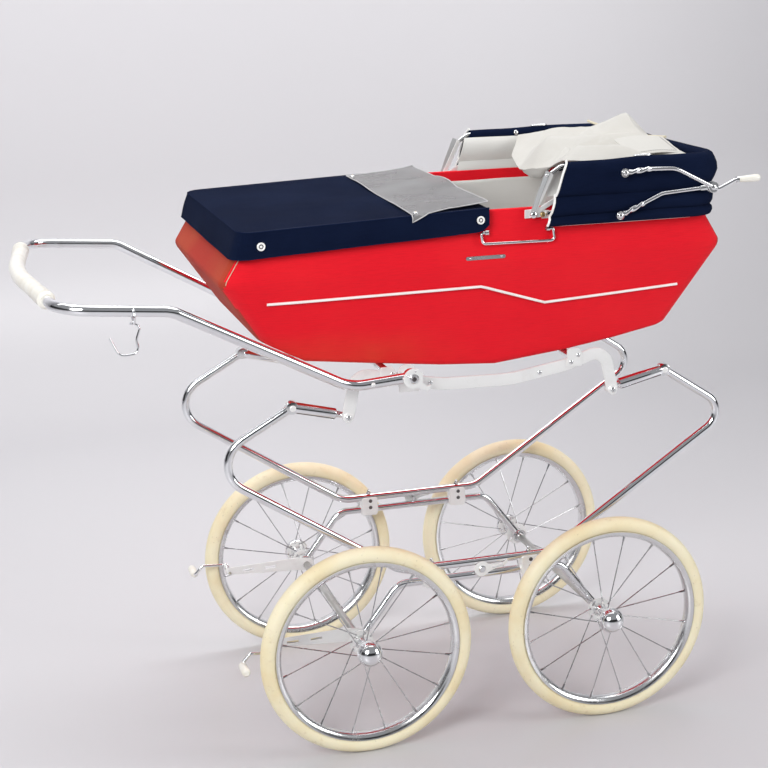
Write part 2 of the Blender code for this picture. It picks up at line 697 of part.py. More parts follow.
def build_moulding(name, side):
    """Slim bright strip along the cot's side, with a step down past the middle."""
    radius = 0.0022
    line = [(-0.3500, 0.7560), (-0.2000, 0.7572), (-0.0050, 0.7585), (0.0055, 0.7555), (0.1064, 0.7225),
            (0.2300, 0.7285), (0.3400, 0.7343)]
    points = [side_point(side, x, cot_side(x, z) + radius + 0.0030, z) for x, z in line]
    tube(name, points, radius, finish("chrome", CHROME), 1)


def build_bail(name, side):
    """Wire carrying handle that hangs flat against the cot's side."""
    corners = [(-0.0020, BAIL_Z, 0), (-0.0085, BAIL_Z, 0.003), (-0.0055, 0.8285, 0.006),
               (0.1150, 0.8265, 0.006), (0.1120, BAIL_Z, 0.003), (0.1055, BAIL_Z, 0)]
    tube(name, sided(flat_path(corners, 3), side, BAIL_Y), 0.0024, finish("chrome", CHROME), 1)


# ---------------------------------------------------------------- apron
def build_apron():
    """Fitted cover over the handle end of the cot, with a skirt on three sides and a vinyl flap."""
    navy = finish("navy_cloth", NAVY_CLOTH)
    shape = bmesh.new()
    rows = []
    for half in (plan_ring(-0.4060, 0.0030, 0.2275, 0.030, 0.8310, 0.8500),
                 plan_ring(-0.3935, 0.0030, 0.2265, 0.026, 0.8710, 0.8850)):
        near = [shape.verts.new(p) for p in half]
        far = [shape.verts.new(Vector((p.x, -p.y, p.z))) for p in half]
        rows.append((near, far))
    (near_low, far_low), (near_top, far_top) = rows
    skirt_low, skirt_top = near_low[::-1] + far_low, near_top[::-1] + far_top
    for i in range(len(skirt_low) - 1):
        shape.faces.new((skirt_low[i], skirt_low[i + 1], skirt_top[i + 1], skirt_top[i]))
    for i in range(len(near_top) - 1):
        shape.faces.new((near_top[i], near_top[i + 1], far_top[i + 1], far_top[i]))
    made = body("apron", shape, navy)
    wall = made.modifiers.new("wall", "SOLIDIFY")
    wall.thickness = 0.0028
    wall.offset = -1.0
    wall.use_even_offset = True
    left, right, lift, thick = -0.1180, 0.0020, 0.8872, 0.0016
    sheet = [(left, 0.8845), (right, lift), (right, lift + thick), (left, 0.8845 + thick)]
    prism("storm_flap", sheet, 1, -0.2050, 0.2050, finish("clear_vinyl", CLEAR_VINYL))


def plan_ring(left, right, half, radius, z_left, z_right):
    """Half ring with rounded left corners and a straight right end, at a sloping height."""
    points = []
    for i in range(4):
        angle = math.radians(180 + 30 * i)
        points.append((left + radius + radius * math.cos(angle), -half + radius + radius * math.sin(angle)))
    points += [(left + (right - left) * part, -half) for part in (0.3, 0.6)]
    points.append((right, -half))
    placed = []
    for x, y in points:
        z = z_left + (z_right - z_left) * (x - left) / (right - left)
        placed.append(side_point(1, x, y, z))
    return placed


# ---------------------------------------------------------------- hood
def u_path(start, corner, end_x, end_z, y, radius=0.034):
    """Corners of a bow: from the right-hand foot, round the hood end, to the left-hand foot."""
    near = [(side_point(-1, *pt), r) for pt, r in
            (((start[0], y, start[1]), 0), ((corner[0], y, corner[1]), 0.012))]
    turn = (side_point(-1, end_x, y, end_z), radius)
    half = near + [turn]
    mirrored = [(Vector((p.x, -p.y, p.z)), r) for p, r in half]
    return half + mirrored[::-1]


def build_bow(name, foot, corner, end_z, eye_low, eye_high):
    """One hood bow: a bent rod with an eye plate on the pivot at each foot."""
    steel = finish("chrome", CHROME)
    made = tube(name, rounded(u_path(foot, corner, BOW_END_X, end_z, BOW_Y), 3), BOW_RADIUS, steel, 1)
    arm = flat_path([(*HOOD_PIVOT, 0), (*foot, 0)])
    for side in SIDES.values():
        centre = side_point(side, HOOD_PIVOT[0], 0, HOOD_PIVOT[1])
        plate = prism("plate", strap_outline(arm, 0.0070), side, eye_low, eye_high, steel)
        eye = pin("eye", centre, side, eye_low, eye_high, 0.0060, steel)
        join(made, [plate, eye])
        bore = pin("bore", centre, side, eye_low - 0.005, eye_high + 0.005, 0.0025 + GAP, steel)
        combine(made, bore, "DIFFERENCE")


def build_hood():
    """Three bows on one pivot line, the folded fabric round them, its lining, and the stays."""
    build_rear_bow()
    build_bow("hood_bow_mid", (0.1150, 0.8905), (0.1400, 0.9000), 0.9060, 0.2195, 0.2215)
    build_bow("hood_bow_front", (0.1080, 0.9330), (0.1240, 0.9430), 0.9430, 0.2225, 0.2245)
    navy = finish("navy_cloth", NAVY_CLOTH)
    for name, low, high in (("hood_skirt", 0.8500, 0.8975), ("hood_crown", 0.8990, 0.9520)):
        rings = [hood_half_ring(FABRIC_OUT_Y, low), hood_half_ring(FABRIC_OUT_Y, high),
                 hood_half_ring(FABRIC_IN_Y, high), hood_half_ring(FABRIC_IN_Y, low)]
        wall_loft(name, rings, navy)
    build_hood_lining()
    for side_name, side in SIDES.items():
        build_stays(side_name, side)


def hood_half_ring(y, z):
    """Open U round the hood end at one height, from the right-hand front edge to the left-hand one."""
    end_x = BOW_END_X + (y - BOW_Y) + 0.0010
    start_x = 0.1000 + (z - 0.8480) * 0.2
    radius = 0.034 + (y - BOW_Y)
    centre = (end_x - radius, y - radius)
    near = [(start_x, -y), (0.2200, -y)]
    for i in range(5):
        angle = math.radians(-90 + 22.5 * i)
        near.append((centre[0] + radius * math.cos(angle), -centre[1] + radius * math.sin(angle)))
    points = [side_point(1, x, yy, z) for x, yy in near]
    return points + [Vector((p.x, -p.y, p.z)) for p in reversed(points)]


def wall_loft(name, rings, material):
    """Closed wall from four open rings: outer low, outer high, inner high, inner low."""
    shape = bmesh.new()
    rows = [[shape.verts.new(p) for p in ring] for ring in rings]
    for low, high in zip(rows, rows[1:] + rows[:1]):
        for i in range(len(low) - 1):
            shape.faces.new((low[i], low[i + 1], high[i + 1], high[i]))
    for end in (0, -1):
        shape.faces.new([row[end] for row in rows])
    return body(name, shape, material)


def build_rear_bow():
    """Lowest bow, fixed to the cot, with the pivot plates and pins of the whole hood."""
    steel = finish("chrome", CHROME)
    path = u_path((0.1000, 0.8700), (0.1400, 0.8700), BOW_END_X, 0.8700, BOW_Y)
    made = tube("hood_bow_rear", rounded(path, 3), BOW_RADIUS, steel, 1)
    x, z = HOOD_PIVOT
    outline = [(x - 0.0140, z - 0.0070), (x + 0.0360, z - 0.0050), (x + 0.0360, z + 0.0030),
               (x + 0.0080, z + 0.0080), (x - 0.0140, z + 0.0080)]
    for side in SIDES.values():
        centre = side_point(side, x, 0, z)
        plate = prism("plate", outline, side, 0.2164, 0.2188, steel)
        peg = pin("peg", centre, side, 0.2170, 0.2262, 0.0025, steel)
        head = pin("head", centre, side, 0.2250, 0.2268, 0.0050, steel)
        join(made, [plate, peg, head])


def build_hood_lining():
    """Bunched inner cloth of the folded hood, one soft heap with a peak."""
    base = [(0.1500, -0.1500), (0.1700, -0.1900), (0.3000, -0.2000), (0.3550, -0.1700), (0.3700, -0.1000)]
    top = [(0.2000, -0.0900), (0.2300, -0.1500), (0.2900, -0.1600), (0.3400, -0.1300), (0.3600, -0.0700)]
    rings = [[side_point(1, x, y, 0.8950) for x, y in base],
             [side_point(1, x, y, 0.9350) for x, y in base],
             [side_point(1, x, y, 0.9620) for x, y in top],
             [side_point(1, 0.3300 + (x - 0.33) * 0.3, y * 0.2, 0.9900) for x, y in top]]
    loft("hood_lining", rings, finish("white_cloth", WHITE_CLOTH))


def add_eye(rod, side, point, y, radius):
    """Round eye, 6 mm wide, joined to a stay at a pivot."""
    centre = side_point(side, point[0], 0, point[1])
    eye = pin("eye", centre, side, y - 0.0030, y + 0.0030, radius, rod.data.materials[0])
    combine(rod, eye, "UNION")


def build_stays(side_name, side):
    """Upper and lower hood stays that meet at an elbow, the upper one with a hand knob."""
    chrome = finish("chrome", CHROME)
    lower = flat_path([(*STAY_LOW_FOOT, 0), (0.2887, 0.8935, 0.030), (*ELBOW, 0)])
    made = tube(f"stay_lower_{side_name}", sided(lower, side, STAY_LOW_Y), STAY_RADIUS, chrome, 1)
    add_eye(made, side, STAY_LOW_FOOT, STAY_LOW_Y, 0.0060)
    add_eye(made, side, ELBOW, STAY_LOW_Y, 0.0075)
    upper = flat_path([(*STAY_HIGH_FOOT, 0), (0.2600, 0.9345, 0.050), (0.3080, 0.9330, 0.050),
                       (0.3820, 0.8950, 0.012), (0.4127, 0.9085, 0.012), (0.4240, 0.9090, 0)], 2)
    made = tube(f"stay_upper_{side_name}", sided(upper, side, STAY_HIGH_Y), STAY_RADIUS, chrome, 1)
    add_eye(made, side, STAY_HIGH_FOOT, STAY_HIGH_Y, 0.0060)
    add_eye(made, side, ELBOW, STAY_HIGH_Y, 0.0070)
    ends = [side_point(side, 0.4180, STAY_HIGH_Y, 0.9089), side_point(side, 0.4560, STAY_HIGH_Y, 0.9097)]
    combine(made, tube("knob", ends, 0.0062, finish("ivory", IVORY)), "UNION")


# ---------------------------------------------------------------- moving assemblies
def hang(name, point, pieces, holder=None):
    """Empty on a joint's axis that carries the named pieces; their origins move to it."""
    empty = bpy.data.objects.new(name, None)
    bpy.context.scene.collection.objects.link(empty)
    empty.parent = holder
    empty.location = point - holder.matrix_world.translation if holder else point
    for piece_name in pieces:
        piece = bpy.data.objects[piece_name]
        piece.data.transform(Matrix.Translation(-point))
        piece.parent = empty
    bpy.context.view_layer.update()
    return empty


def build_joints():
    """Hang every moving piece on its own axis: wheels, brakes, latches, handle, cot, apron and hood."""
    for side_name, side in SIDES.items():
        for end_name, end in (("front", 1), ("rear", -1)):
            which = f"{end_name}_{side_name}"
            turning = [f"tyre_{which}", f"wheel_{which}", f"hub_cap_{which}"]
            hang(f"spin_{which}", wheel_centre(end, side), turning)
        pedal = side_point(side, PEDAL_PIVOT[0], CARRIER_Y, PEDAL_PIVOT[1])
        hang(f"press_{side_name}", pedal, [f"brake_pedal_{side_name}"])
        latch = side_point(side, LATCH_MIDDLE[0], FRAME_Y, LATCH_MIDDLE[1])
        hang(f"turn_latch_{side_name}", latch, [f"frame_latch_{side_name}"])
    axis = side_point(1, HANDLE_PIVOT[0], 0, HANDLE_PIVOT[1])
    handle = hang("fold_handle", axis, ["handle_tube", "handle_grip"])
    hang("swing_hook", side_point(-1, HOOK_TOP[0], HOOK_Y, HOOK_TOP[1]), ["bag_hook"], handle)
    cot = hang("lift_cot", side_point(1, 0, 0, COT_CHINE[3]),
               ["cot_shell", "cot_lining", "mattress", "side_moulding_left", "side_moulding_right",
                "hood_bow_rear", "hood_skirt"])
    hinge = side_point(1, FLAP_HINGE[0], 0, FLAP_HINGE[1])
    apron = hang("lift_apron", hinge, ["apron"], cot)
    hang("turn_flap", hinge, ["storm_flap"], apron)
    pivot = side_point(1, HOOD_PIVOT[0], 0, HOOD_PIVOT[1])
    middle = hang("raise_middle_bow", pivot, ["hood_bow_mid", "hood_crown", "hood_lining"], cot)
    front = hang("raise_front_bow", pivot, ["hood_bow_front"], middle)
    for side_name, side in SIDES.items():
        bail = side_point(side, 0.0530, BAIL_Y, BAIL_Z)
        hang(f"swing_bail_{side_name}", bail, [f"carry_bail_{side_name}"], cot)
        low = side_point(side, STAY_LOW_FOOT[0], STAY_LOW_Y, STAY_LOW_FOOT[1])
        high = side_point(side, STAY_HIGH_FOOT[0], STAY_HIGH_Y, STAY_HIGH_FOOT[1])
        hang(f"turn_lower_stay_{side_name}", low, [f"stay_lower_{side_name}"], cot)
        hang(f"turn_upper_stay_{side_name}", high, [f"stay_upper_{side_name}"], front)


def main():
    """Build the whole carriage."""
    clear_scene()
    build_wheels()
    build_chassis()
    build_handle()
    build_cot()
    build_apron()
    build_hood()
    build_joints()


main()
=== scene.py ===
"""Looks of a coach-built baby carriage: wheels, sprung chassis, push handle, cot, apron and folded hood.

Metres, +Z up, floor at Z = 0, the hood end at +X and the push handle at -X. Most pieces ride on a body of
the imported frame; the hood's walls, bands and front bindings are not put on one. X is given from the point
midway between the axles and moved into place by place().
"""
from __future__ import annotations

import logging
import math
from dataclasses import dataclass, field
from enum import Enum
from typing import Any, Callable, Iterable, Sequence

import bmesh
import bpy
from mathutils import Matrix, Vector, noise
from mathutils.geometry import delaunay_2d_cdt

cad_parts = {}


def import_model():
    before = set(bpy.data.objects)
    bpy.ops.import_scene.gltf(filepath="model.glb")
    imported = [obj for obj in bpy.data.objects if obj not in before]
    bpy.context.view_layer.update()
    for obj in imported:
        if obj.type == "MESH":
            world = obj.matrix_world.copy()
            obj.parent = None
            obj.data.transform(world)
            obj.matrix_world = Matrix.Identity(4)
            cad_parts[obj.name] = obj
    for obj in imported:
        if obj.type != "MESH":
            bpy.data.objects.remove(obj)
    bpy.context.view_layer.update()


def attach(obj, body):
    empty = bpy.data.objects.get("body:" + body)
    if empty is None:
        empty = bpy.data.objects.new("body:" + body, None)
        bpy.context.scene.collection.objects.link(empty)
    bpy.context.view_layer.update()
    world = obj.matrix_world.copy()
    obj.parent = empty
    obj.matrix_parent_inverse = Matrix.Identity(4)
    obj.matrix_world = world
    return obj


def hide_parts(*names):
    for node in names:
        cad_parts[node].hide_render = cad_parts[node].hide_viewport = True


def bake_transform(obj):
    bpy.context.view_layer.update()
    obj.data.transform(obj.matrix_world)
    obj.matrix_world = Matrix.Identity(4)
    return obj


LOG = logging.getLogger("carriage")
MID = 0.1300
UP = Vector((0, 0, 1))
Path = Sequence[Vector]


class Side(Enum):
    """Left or right of the carriage, as the sign of Y."""

    LEFT = 1.0
    RIGHT = -1.0

    @property
    def label(self) -> str:
        """Word used in names."""
        return self.name.lower()


def place(side: Side | float, x: float, y: float, z: float) -> Vector:
    """Point at x from the axle midpoint, y out from the middle plane on one side, and height z."""
    sign = side.value if isinstance(side, Side) else side
    return Vector((x + MID, sign * y, z))


# ---------------------------------------------------------------- shader maths
class Signal:
    """A node socket that takes part in Python arithmetic."""

    def __init__(self, shade: "Shade", socket: bpy.types.NodeSocket) -> None:
        """Keep the tree and the socket."""
        self.shade = shade
        self.socket = socket

    def maths(self, operation: str, *others: "Signal | float") -> "Signal":
        """Return this value combined with others by a Math node."""
        sockets = {i: value for i, value in enumerate((self, *others))}
        return self.shade.node("ShaderNodeMath", {"operation": operation}, sockets)

    def __add__(self, other: "Signal | float") -> "Signal":
        """Sum."""
        return self.maths("ADD", other)

    __radd__ = __add__

    def __sub__(self, other: "Signal | float") -> "Signal":
        """Difference."""
        return self.maths("SUBTRACT", other)

    def __rsub__(self, other: float) -> "Signal":
        """Number less this value."""
        return self.maths("MULTIPLY", -1.0).maths("ADD", other)

    def __mul__(self, other: "Signal | float") -> "Signal":
        """Product."""
        return self.maths("MULTIPLY", other)

    __rmul__ = __mul__

    def __truediv__(self, other: "Signal | float") -> "Signal":
        """Quotient."""
        return self.maths("DIVIDE", other)

    def __pow__(self, other: float) -> "Signal":
        """Power."""
        return self.maths("POWER", other)

    def wave(self, period: float) -> "Signal":
        """Sine of this length, 0 to 1, with the given period."""
        return (self * (2 * math.pi / period)).maths("SINE") * 0.5 + 0.5

    def ramp(self, low: float, high: float) -> "Signal":
        """0 below low, 1 above high, smooth between.

        Args:
            low: lower limit.
            high: upper limit.

        Returns:
            The ramped value.
        """
        settings = {"interpolation_type": "SMOOTHSTEP"}
        sockets = {"Value": self, "From Min": low, "From Max": high}
        return self.shade.node("ShaderNodeMapRange", settings, sockets)


class Shade:
    """Node tree of one material."""

    def __init__(self, name: str) -> None:
        """Start an empty material called name.

        Args:
            name: name of what is made.
        """
        self.material = bpy.data.materials.new(name)
        self.material.use_nodes = True
        self.tree = self.material.node_tree
        self.tree.nodes.clear()

    def node(self, kind: str, settings: dict[str, Any] | None = None,
             sockets: dict[str | int, Any] | None = None, out: str | int = 0) -> Signal:
        """Add one node.

        Args:
            kind: Blender's node type.
            settings: attributes set before the sockets.
            sockets: numbers, colours or signals by input name or index.
            out: the output that is returned.

        Returns:
            The chosen output as a signal.
        """
        made = self.tree.nodes.new(kind)
        for key, value in (settings or {}).items():
            setattr(made, key, value)
        for key, value in (sockets or {}).items():
            if isinstance(value, Signal):
                self.tree.links.new(value.socket, made.inputs[key])
            else:
                made.inputs[key].default_value = value
        return Signal(self, made.outputs[out])

    def spot(self) -> Signal:
        """Object coordinates."""
        return self.node("ShaderNodeTexCoord", out="Object")

    def cloth(self) -> Signal:
        """The piece's own UV map, in metres."""
        return self.node("ShaderNodeUVMap", {"uv_map": "cloth"})

    def part(self, vector: Signal, axis: str) -> Signal:
        """One component of a vector."""
        return self.node("ShaderNodeSeparateXYZ", None, {0: vector}, axis)

    def stretched(self, vector: Signal, scale: tuple[float, float, float]) -> Signal:
        """A vector scaled along its axes."""
        return self.node("ShaderNodeMapping", None, {"Vector": vector, "Scale": scale})

    def cloud(self, vector: Signal, scale: float, detail: float = 3.0, rough: float = 0.55) -> Signal:
        """Noise, about 0.5 on average."""
        sockets = {"Vector": vector, "Scale": scale, "Detail": detail, "Roughness": rough}
        return self.node("ShaderNodeTexNoise", None, sockets)

    def blend(self, amount: Signal | float, low: Any, high: Any) -> Signal:
        """Mix of two colours.

        Args:
            amount: share of high.
            low: colour at 0.
            high: colour at 1.

        Returns:
            The mixed colour.
        """
        settings = {"data_type": "RGBA"}
        sockets = {0: amount, 6: solid(low), 7: solid(high)}
        return self.node("ShaderNodeMix", settings, sockets, 2)

    def bump(self, height: Signal, depth: float, strength: float = 1.0) -> Signal:
        """Normal bent by a height, depth in metres."""
        return self.node("ShaderNodeBump", None, {"Height": height, "Distance": depth, "Strength": strength})

    def surface(self, **sockets: Any) -> bpy.types.Material:
        """Close the tree with a Principled shader, and return the material.

        Returns:
            The finished material.
        """
        named = {key.replace("_", " "): value for key, value in sockets.items()}
        shader = self.node("ShaderNodeBsdfPrincipled", None, named)
        self._end(shader)
        return self.material

    def _end(self, shader: Signal) -> None:
        """Wire the shader to the output."""
        end = self.tree.nodes.new("ShaderNodeOutputMaterial")
        self.tree.links.new(shader.socket, end.inputs["Surface"])


def solid(colour: Any) -> Any:
    """A colour with its alpha, or a signal as it is."""
    if isinstance(colour, Signal) or len(colour) == 4:
        return colour
    return (*colour, 1.0)


# ---------------------------------------------------------------- finishes
@dataclass(frozen=True)
class Finish:
    """A surface that pieces are dressed in."""

    name: str
    slot: str
    colour: tuple[float, float, float]
    roughness: float = 0.4

    def material(self) -> bpy.types.Material:
        """The finish's material, made once."""
        return bpy.data.materials.get(self.name) or self.build(Shade(self.name))

    def build(self, shade: Shade) -> bpy.types.Material:
        """Make the node tree."""
        raise NotImplementedError


@dataclass(frozen=True)
class Metal(Finish):
    """Plated, satin or cast metal with handling marks and a little dirt in patches."""

    smear: float = 0.10
    tarnish: tuple[float, float, float] = (0.35, 0.30, 0.25)
    dirt: float = 0.25
    grain: float = 0.0
    bare: float = 1.0

    def build(self, shade: Shade) -> bpy.types.Material:
        """Roughness from smears, tarnish in patches and a fine drawn grain.

        Args:
            shade: the empty tree.

        Returns:
            The finished material.
        """
        spot = shade.spot()
        patches = shade.cloud(spot, 34.0, 5.0, 0.65).ramp(0.52, 0.74)
        specks = shade.cloud(spot, 420.0, 2.0).ramp(0.62, 0.74)
        worn = (patches * 0.6 + specks * 0.4) * self.dirt
        smears = shade.cloud(shade.stretched(spot, (1.0, 2.6, 1.7)), 22.0, 4.0).ramp(0.35, 0.75)
        fine = shade.cloud(shade.stretched(spot, (1.0, 9.0, 14.0)), 260.0, 2.0)
        normal = shade.bump(fine * max(self.grain, 0.05) + specks * 0.2, 0.00012, 0.5)
        return shade.surface(
            Base_Color=shade.blend(worn, self.colour, self.tarnish), Metallic=self.bare,
            Roughness=smears * self.smear + self.roughness + worn * 0.35, Normal=normal)


@dataclass(frozen=True)
class Rubber(Finish):
    """Aged cream rubber with brown road staining."""

    stain: tuple[float, float, float] = (0.42, 0.27, 0.11)

    def build(self, shade: Shade) -> bpy.types.Material:
        """Patchy yellowing, dark nicks and a fine pitted skin.

        Args:
            shade: the empty tree.

        Returns:
            The finished material.
        """
        spot = shade.spot()
        yellowed = shade.cloud(spot, 9.0, 4.0).ramp(0.38, 0.72)
        stained = shade.cloud(spot, 46.0, 6.0, 0.7).ramp(0.56, 0.80)
        nicks = shade.cloud(spot, 240.0, 3.0).ramp(0.66, 0.74)
        aged = shade.blend(yellowed * 0.75, self.colour, (0.80, 0.66, 0.38))
        dirty = shade.blend(stained * 0.42, aged, self.stain)
        marked = shade.blend(nicks * 0.35, dirty, (0.16, 0.11, 0.06))
        pits = shade.cloud(spot, 620.0, 3.0)
        return shade.surface(
            Base_Color=marked, Roughness=yellowed * 0.12 + self.roughness,
            Normal=shade.bump(pits * 0.6 - nicks * 0.5, 0.0003, 0.6),
            Subsurface_Weight=0.06, Subsurface_Radius=(0.01, 0.006, 0.003), Subsurface_Scale=0.3)


@dataclass(frozen=True)
class Moulded(Finish):
    """Glossy moulded plastic or enamel with a light orange-peel skin."""

    aged: tuple[float, float, float] = (0.60, 0.50, 0.33)
    coat: float = 0.35

    def build(self, shade: Shade) -> bpy.types.Material:
        """Uneven yellowing, scuffs in the gloss and a shallow skin.

        Args:
            shade: the empty tree.

        Returns:
            The finished material.
        """
        spot = shade.spot()
        yellowed = shade.cloud(spot, 28.0, 5.0).ramp(0.42, 0.78)
        scuffed = shade.cloud(shade.stretched(spot, (3.0, 1.0, 1.0)), 180.0, 3.0).ramp(0.58, 0.72)
        return shade.surface(
            Base_Color=shade.blend(yellowed * 0.5, self.colour, self.aged),
            Roughness=scuffed * 0.25 + self.roughness,
            Normal=shade.bump(shade.cloud(spot, 300.0, 2.0), 0.0002, 0.35), Coat_Weight=self.coat)


class Weave(Enum):
    """How a cloth is woven: the relief of its threads."""

    RIBBED = (0.25, 1.0)
    PLAIN = (1.0, 1.0)
    FINE = (0.6, 0.6)


@dataclass(frozen=True)
class Cloth(Finish):
    """Woven cloth with threads, slubs, fading and painted shade, laid out on the piece's own UV map."""

    thread: float = 0.0011
    weave: Weave = Weave.PLAIN
    faded: tuple[float, float, float] = (0.5, 0.5, 0.5)
    fade: float = 0.3
    relief: float = 0.00035
    sheen: float = 0.15
    # How much darker the slub streaks and thread gaps are: partly uneven yarn, partly painted shade.
    slub: float = 0.12
    gloss: float = 0.3
    # Darker red blended into the lower rear of the side, below the moulding: painted shade.
    sunned: tuple[float, float, float] | None = None

    def build(self, shade: Shade) -> bpy.types.Material:
        """Warp and weft relief, streaky slubs, soft patches of wear, and painted shade where the weave's
        relief is low.

        Args:
            shade: the empty tree.

        Returns:
            The finished material.
        """
        flat = shade.cloth()
        across, down = shade.part(flat, "X"), shade.part(flat, "Y")
        warp, weft = self.weave.value
        drift = shade.cloud(flat, 60.0, 2.0) * (self.thread * 0.7)
        woven = (across + drift).wave(self.thread * 1.25) * warp * ((down + drift).wave(self.thread)) * weft
        if self.weave is Weave.RIBBED:
            woven = (down + drift).wave(self.thread) * 0.8 + (across + drift).wave(self.thread * 1.3) * 0.2
        slubs = shade.cloud(shade.stretched(flat, (34.0, 620.0, 1.0)), 1.0, 3.0, 0.6)
        patches = shade.cloud(flat, 7.0, 4.0).ramp(0.36, 0.74)
        # Painted shade: the slub streaks and the gaps between threads are darker where the weave's relief is
        # low; the streaks are partly the yarn's own uneven tone.
        shadow = tuple(c * (1 - self.slub) for c in self.colour)
        gap_shade = tuple(c * (1 - 2.2 * self.slub) for c in self.colour)
        streaked = shade.blend(slubs.ramp(0.30, 0.62), shadow, self.colour)
        threaded = shade.blend(woven * 0.6 + 0.4, gap_shade, streaked)
        worn = shade.blend(patches * self.fade, threaded, self.faded)
        # Painted shade: the lower rear of the side is blended in patches towards the darker red.
        if self.sunned:
            spot = shade.spot()
            low = 1.0 - shade.part(spot, "Z").ramp(0.640, 0.715)
            rear = 1.0 - shade.part(spot, "X").ramp(-0.20, 0.16)
            worn = shade.blend(low * rear * (patches * 0.5 + 0.35), worn, self.sunned)
        height = woven + slubs * 0.8
        return shade.surface(
            Base_Color=worn, Roughness=slubs * 0.1 + self.roughness,
            Normal=shade.bump(height, self.relief, 0.9),
            Sheen_Weight=self.sheen, Sheen_Roughness=0.5, Specular_IOR_Level=self.gloss)


@dataclass(frozen=True)
class Film(Finish):
    """Soft clear vinyl gone grey, with dents and a milky bloom."""

    clear: float = 0.62

    def build(self, shade: Shade) -> bpy.types.Material:
        """Partly see-through sheet with wavy dents.

        Args:
            shade: the empty tree.

        Returns:
            The finished material.
        """
        spot = shade.spot()
        bloom = shade.cloud(spot, 12.0, 1.5).ramp(0.30, 0.80)
        dents = shade.cloud(shade.stretched(spot, (1.0, 0.4, 1.0)), 14.0, 1.5)
        return shade.surface(
            Base_Color=shade.blend(bloom * 0.7, self.colour, (0.26, 0.26, 0.265)),
            Roughness=bloom * 0.15 + self.roughness, Alpha=bloom * 0.18 + self.clear,
            Normal=shade.bump(dents, 0.006, 0.5), Coat_Weight=0.15)


CHROME = Metal("polished_chrome", "chrome", (0.86, 0.87, 0.89), 0.05)
CHROME_WORN = Metal("pitted_chrome", "chrome", (0.80, 0.81, 0.82), 0.12, smear=0.18, dirt=0.5)
SATIN = Metal("satin_steel_bar", "satin_steel", (0.62, 0.62, 0.60), 0.32, smear=0.2, dirt=0.5, grain=0.5)
# Near-white base and only partly metallic, so the satin alloy looks white under any lamp: painted reflection
# of bright studio light.
ALLOY = Metal("satin_alloy", "alloy", (0.92, 0.92, 0.91), 0.42, smear=0.12, dirt=0.18, grain=0.6, bare=0.45)
DARK_STEEL = Metal("dark_steel", "satin_steel", (0.16, 0.15, 0.15), 0.35, smear=0.2, dirt=0.3)
CREAM = Rubber("cream_rubber", "tyre", (0.90, 0.83, 0.60), 0.5)
IVORY = Moulded("ivory_plastic", "ivory", (0.88, 0.86, 0.79), 0.28)
WHITE_TRIM = Moulded("white_trim", "ivory", (0.90, 0.90, 0.88), 0.3, aged=(0.75, 0.72, 0.66))
RED = Cloth("red_ribbed_cloth", "red_cloth", (0.93, 0.0100, 0.024), 0.62, weave=Weave.RIBBED,
            faded=(0.95, 0.026, 0.030), fade=0.22, slub=0.10, sheen=0.02, gloss=0.12,
            sunned=(0.66, 0.085, 0.030))
NAVY = Cloth("navy_cloth_weave", "navy_cloth", (0.0050, 0.0105, 0.036), 0.92, faded=(0.010, 0.019, 0.054),
             fade=0.35, sheen=0.0, gloss=0.06, thread=0.0013, slub=0.22)
WHITE = Cloth("white_cotton", "white_cloth", (0.77, 0.76, 0.73), 0.8, weave=Weave.FINE,
              faded=(0.68, 0.66, 0.61),
              fade=0.3, thread=0.0009, relief=0.00012, slub=0.03)
# Greyer copy of the white cotton for the hood's crumpled lining: painted shade.
SHADED_WHITE = Cloth("creased_lining_cloth", "white_cloth", (0.60, 0.585, 0.550), 0.85, weave=Weave.FINE,
                faded=(0.50, 0.475, 0.430), fade=0.4, thread=0.0009, relief=0.00012, slub=0.05)
VINYL = Film("clear_vinyl_sheet", "clear_vinyl", (0.17, 0.165, 0.165), 0.26, clear=0.76)
# Darker, browner copy of the red cloth for the end panels: painted shade.
RED_SHADED_END = Cloth("red_end_cloth", "red_cloth", (0.50, 0.040, 0.024), 0.66, weave=Weave.RIBBED,
                faded=(0.50, 0.105, 0.040), fade=0.45, slub=0.12, sheen=0.02, gloss=0.10)
NAVY_THREAD = Moulded("navy_thread", "navy_cloth", (0.02, 0.025, 0.06), 0.7, aged=(0.05, 0.05, 0.09),
                      coat=0.0)
GREY_THREAD = Moulded("grey_thread", "white_cloth", (0.30, 0.29, 0.28), 0.7, aged=(0.2, 0.19, 0.18), coat=0.0)
VINYL_EDGE = Moulded("vinyl_binding", "clear_vinyl", (0.52, 0.52, 0.53), 0.3, aged=(0.42, 0.41, 0.40))
BEIGE_TRIM = Moulded("beige_piping", "ivory", (0.66, 0.50, 0.36), 0.6, aged=(0.5, 0.36, 0.24), coat=0.0)
BEIGE = Cloth("beige_hem_cloth", "white_cloth", (0.62, 0.56, 0.42), 0.8, faded=(0.7, 0.66, 0.55))
GREY_PAINT = Moulded("grey_enamel", "alloy", (0.45, 0.46, 0.47), 0.35, aged=(0.36, 0.34, 0.31))
CARD = Moulded("dark_card", "alloy", (0.02, 0.02, 0.022), 0.9, aged=(0.03, 0.03, 0.03), coat=0.0)
SPOKE = Metal("spoke_wire", "chrome", (0.52, 0.52, 0.53), 0.20, smear=0.15, dirt=0.4)
BRASS = Metal("dull_brass", "satin_steel", (0.50, 0.38, 0.18), 0.35, smear=0.2, dirt=0.4)


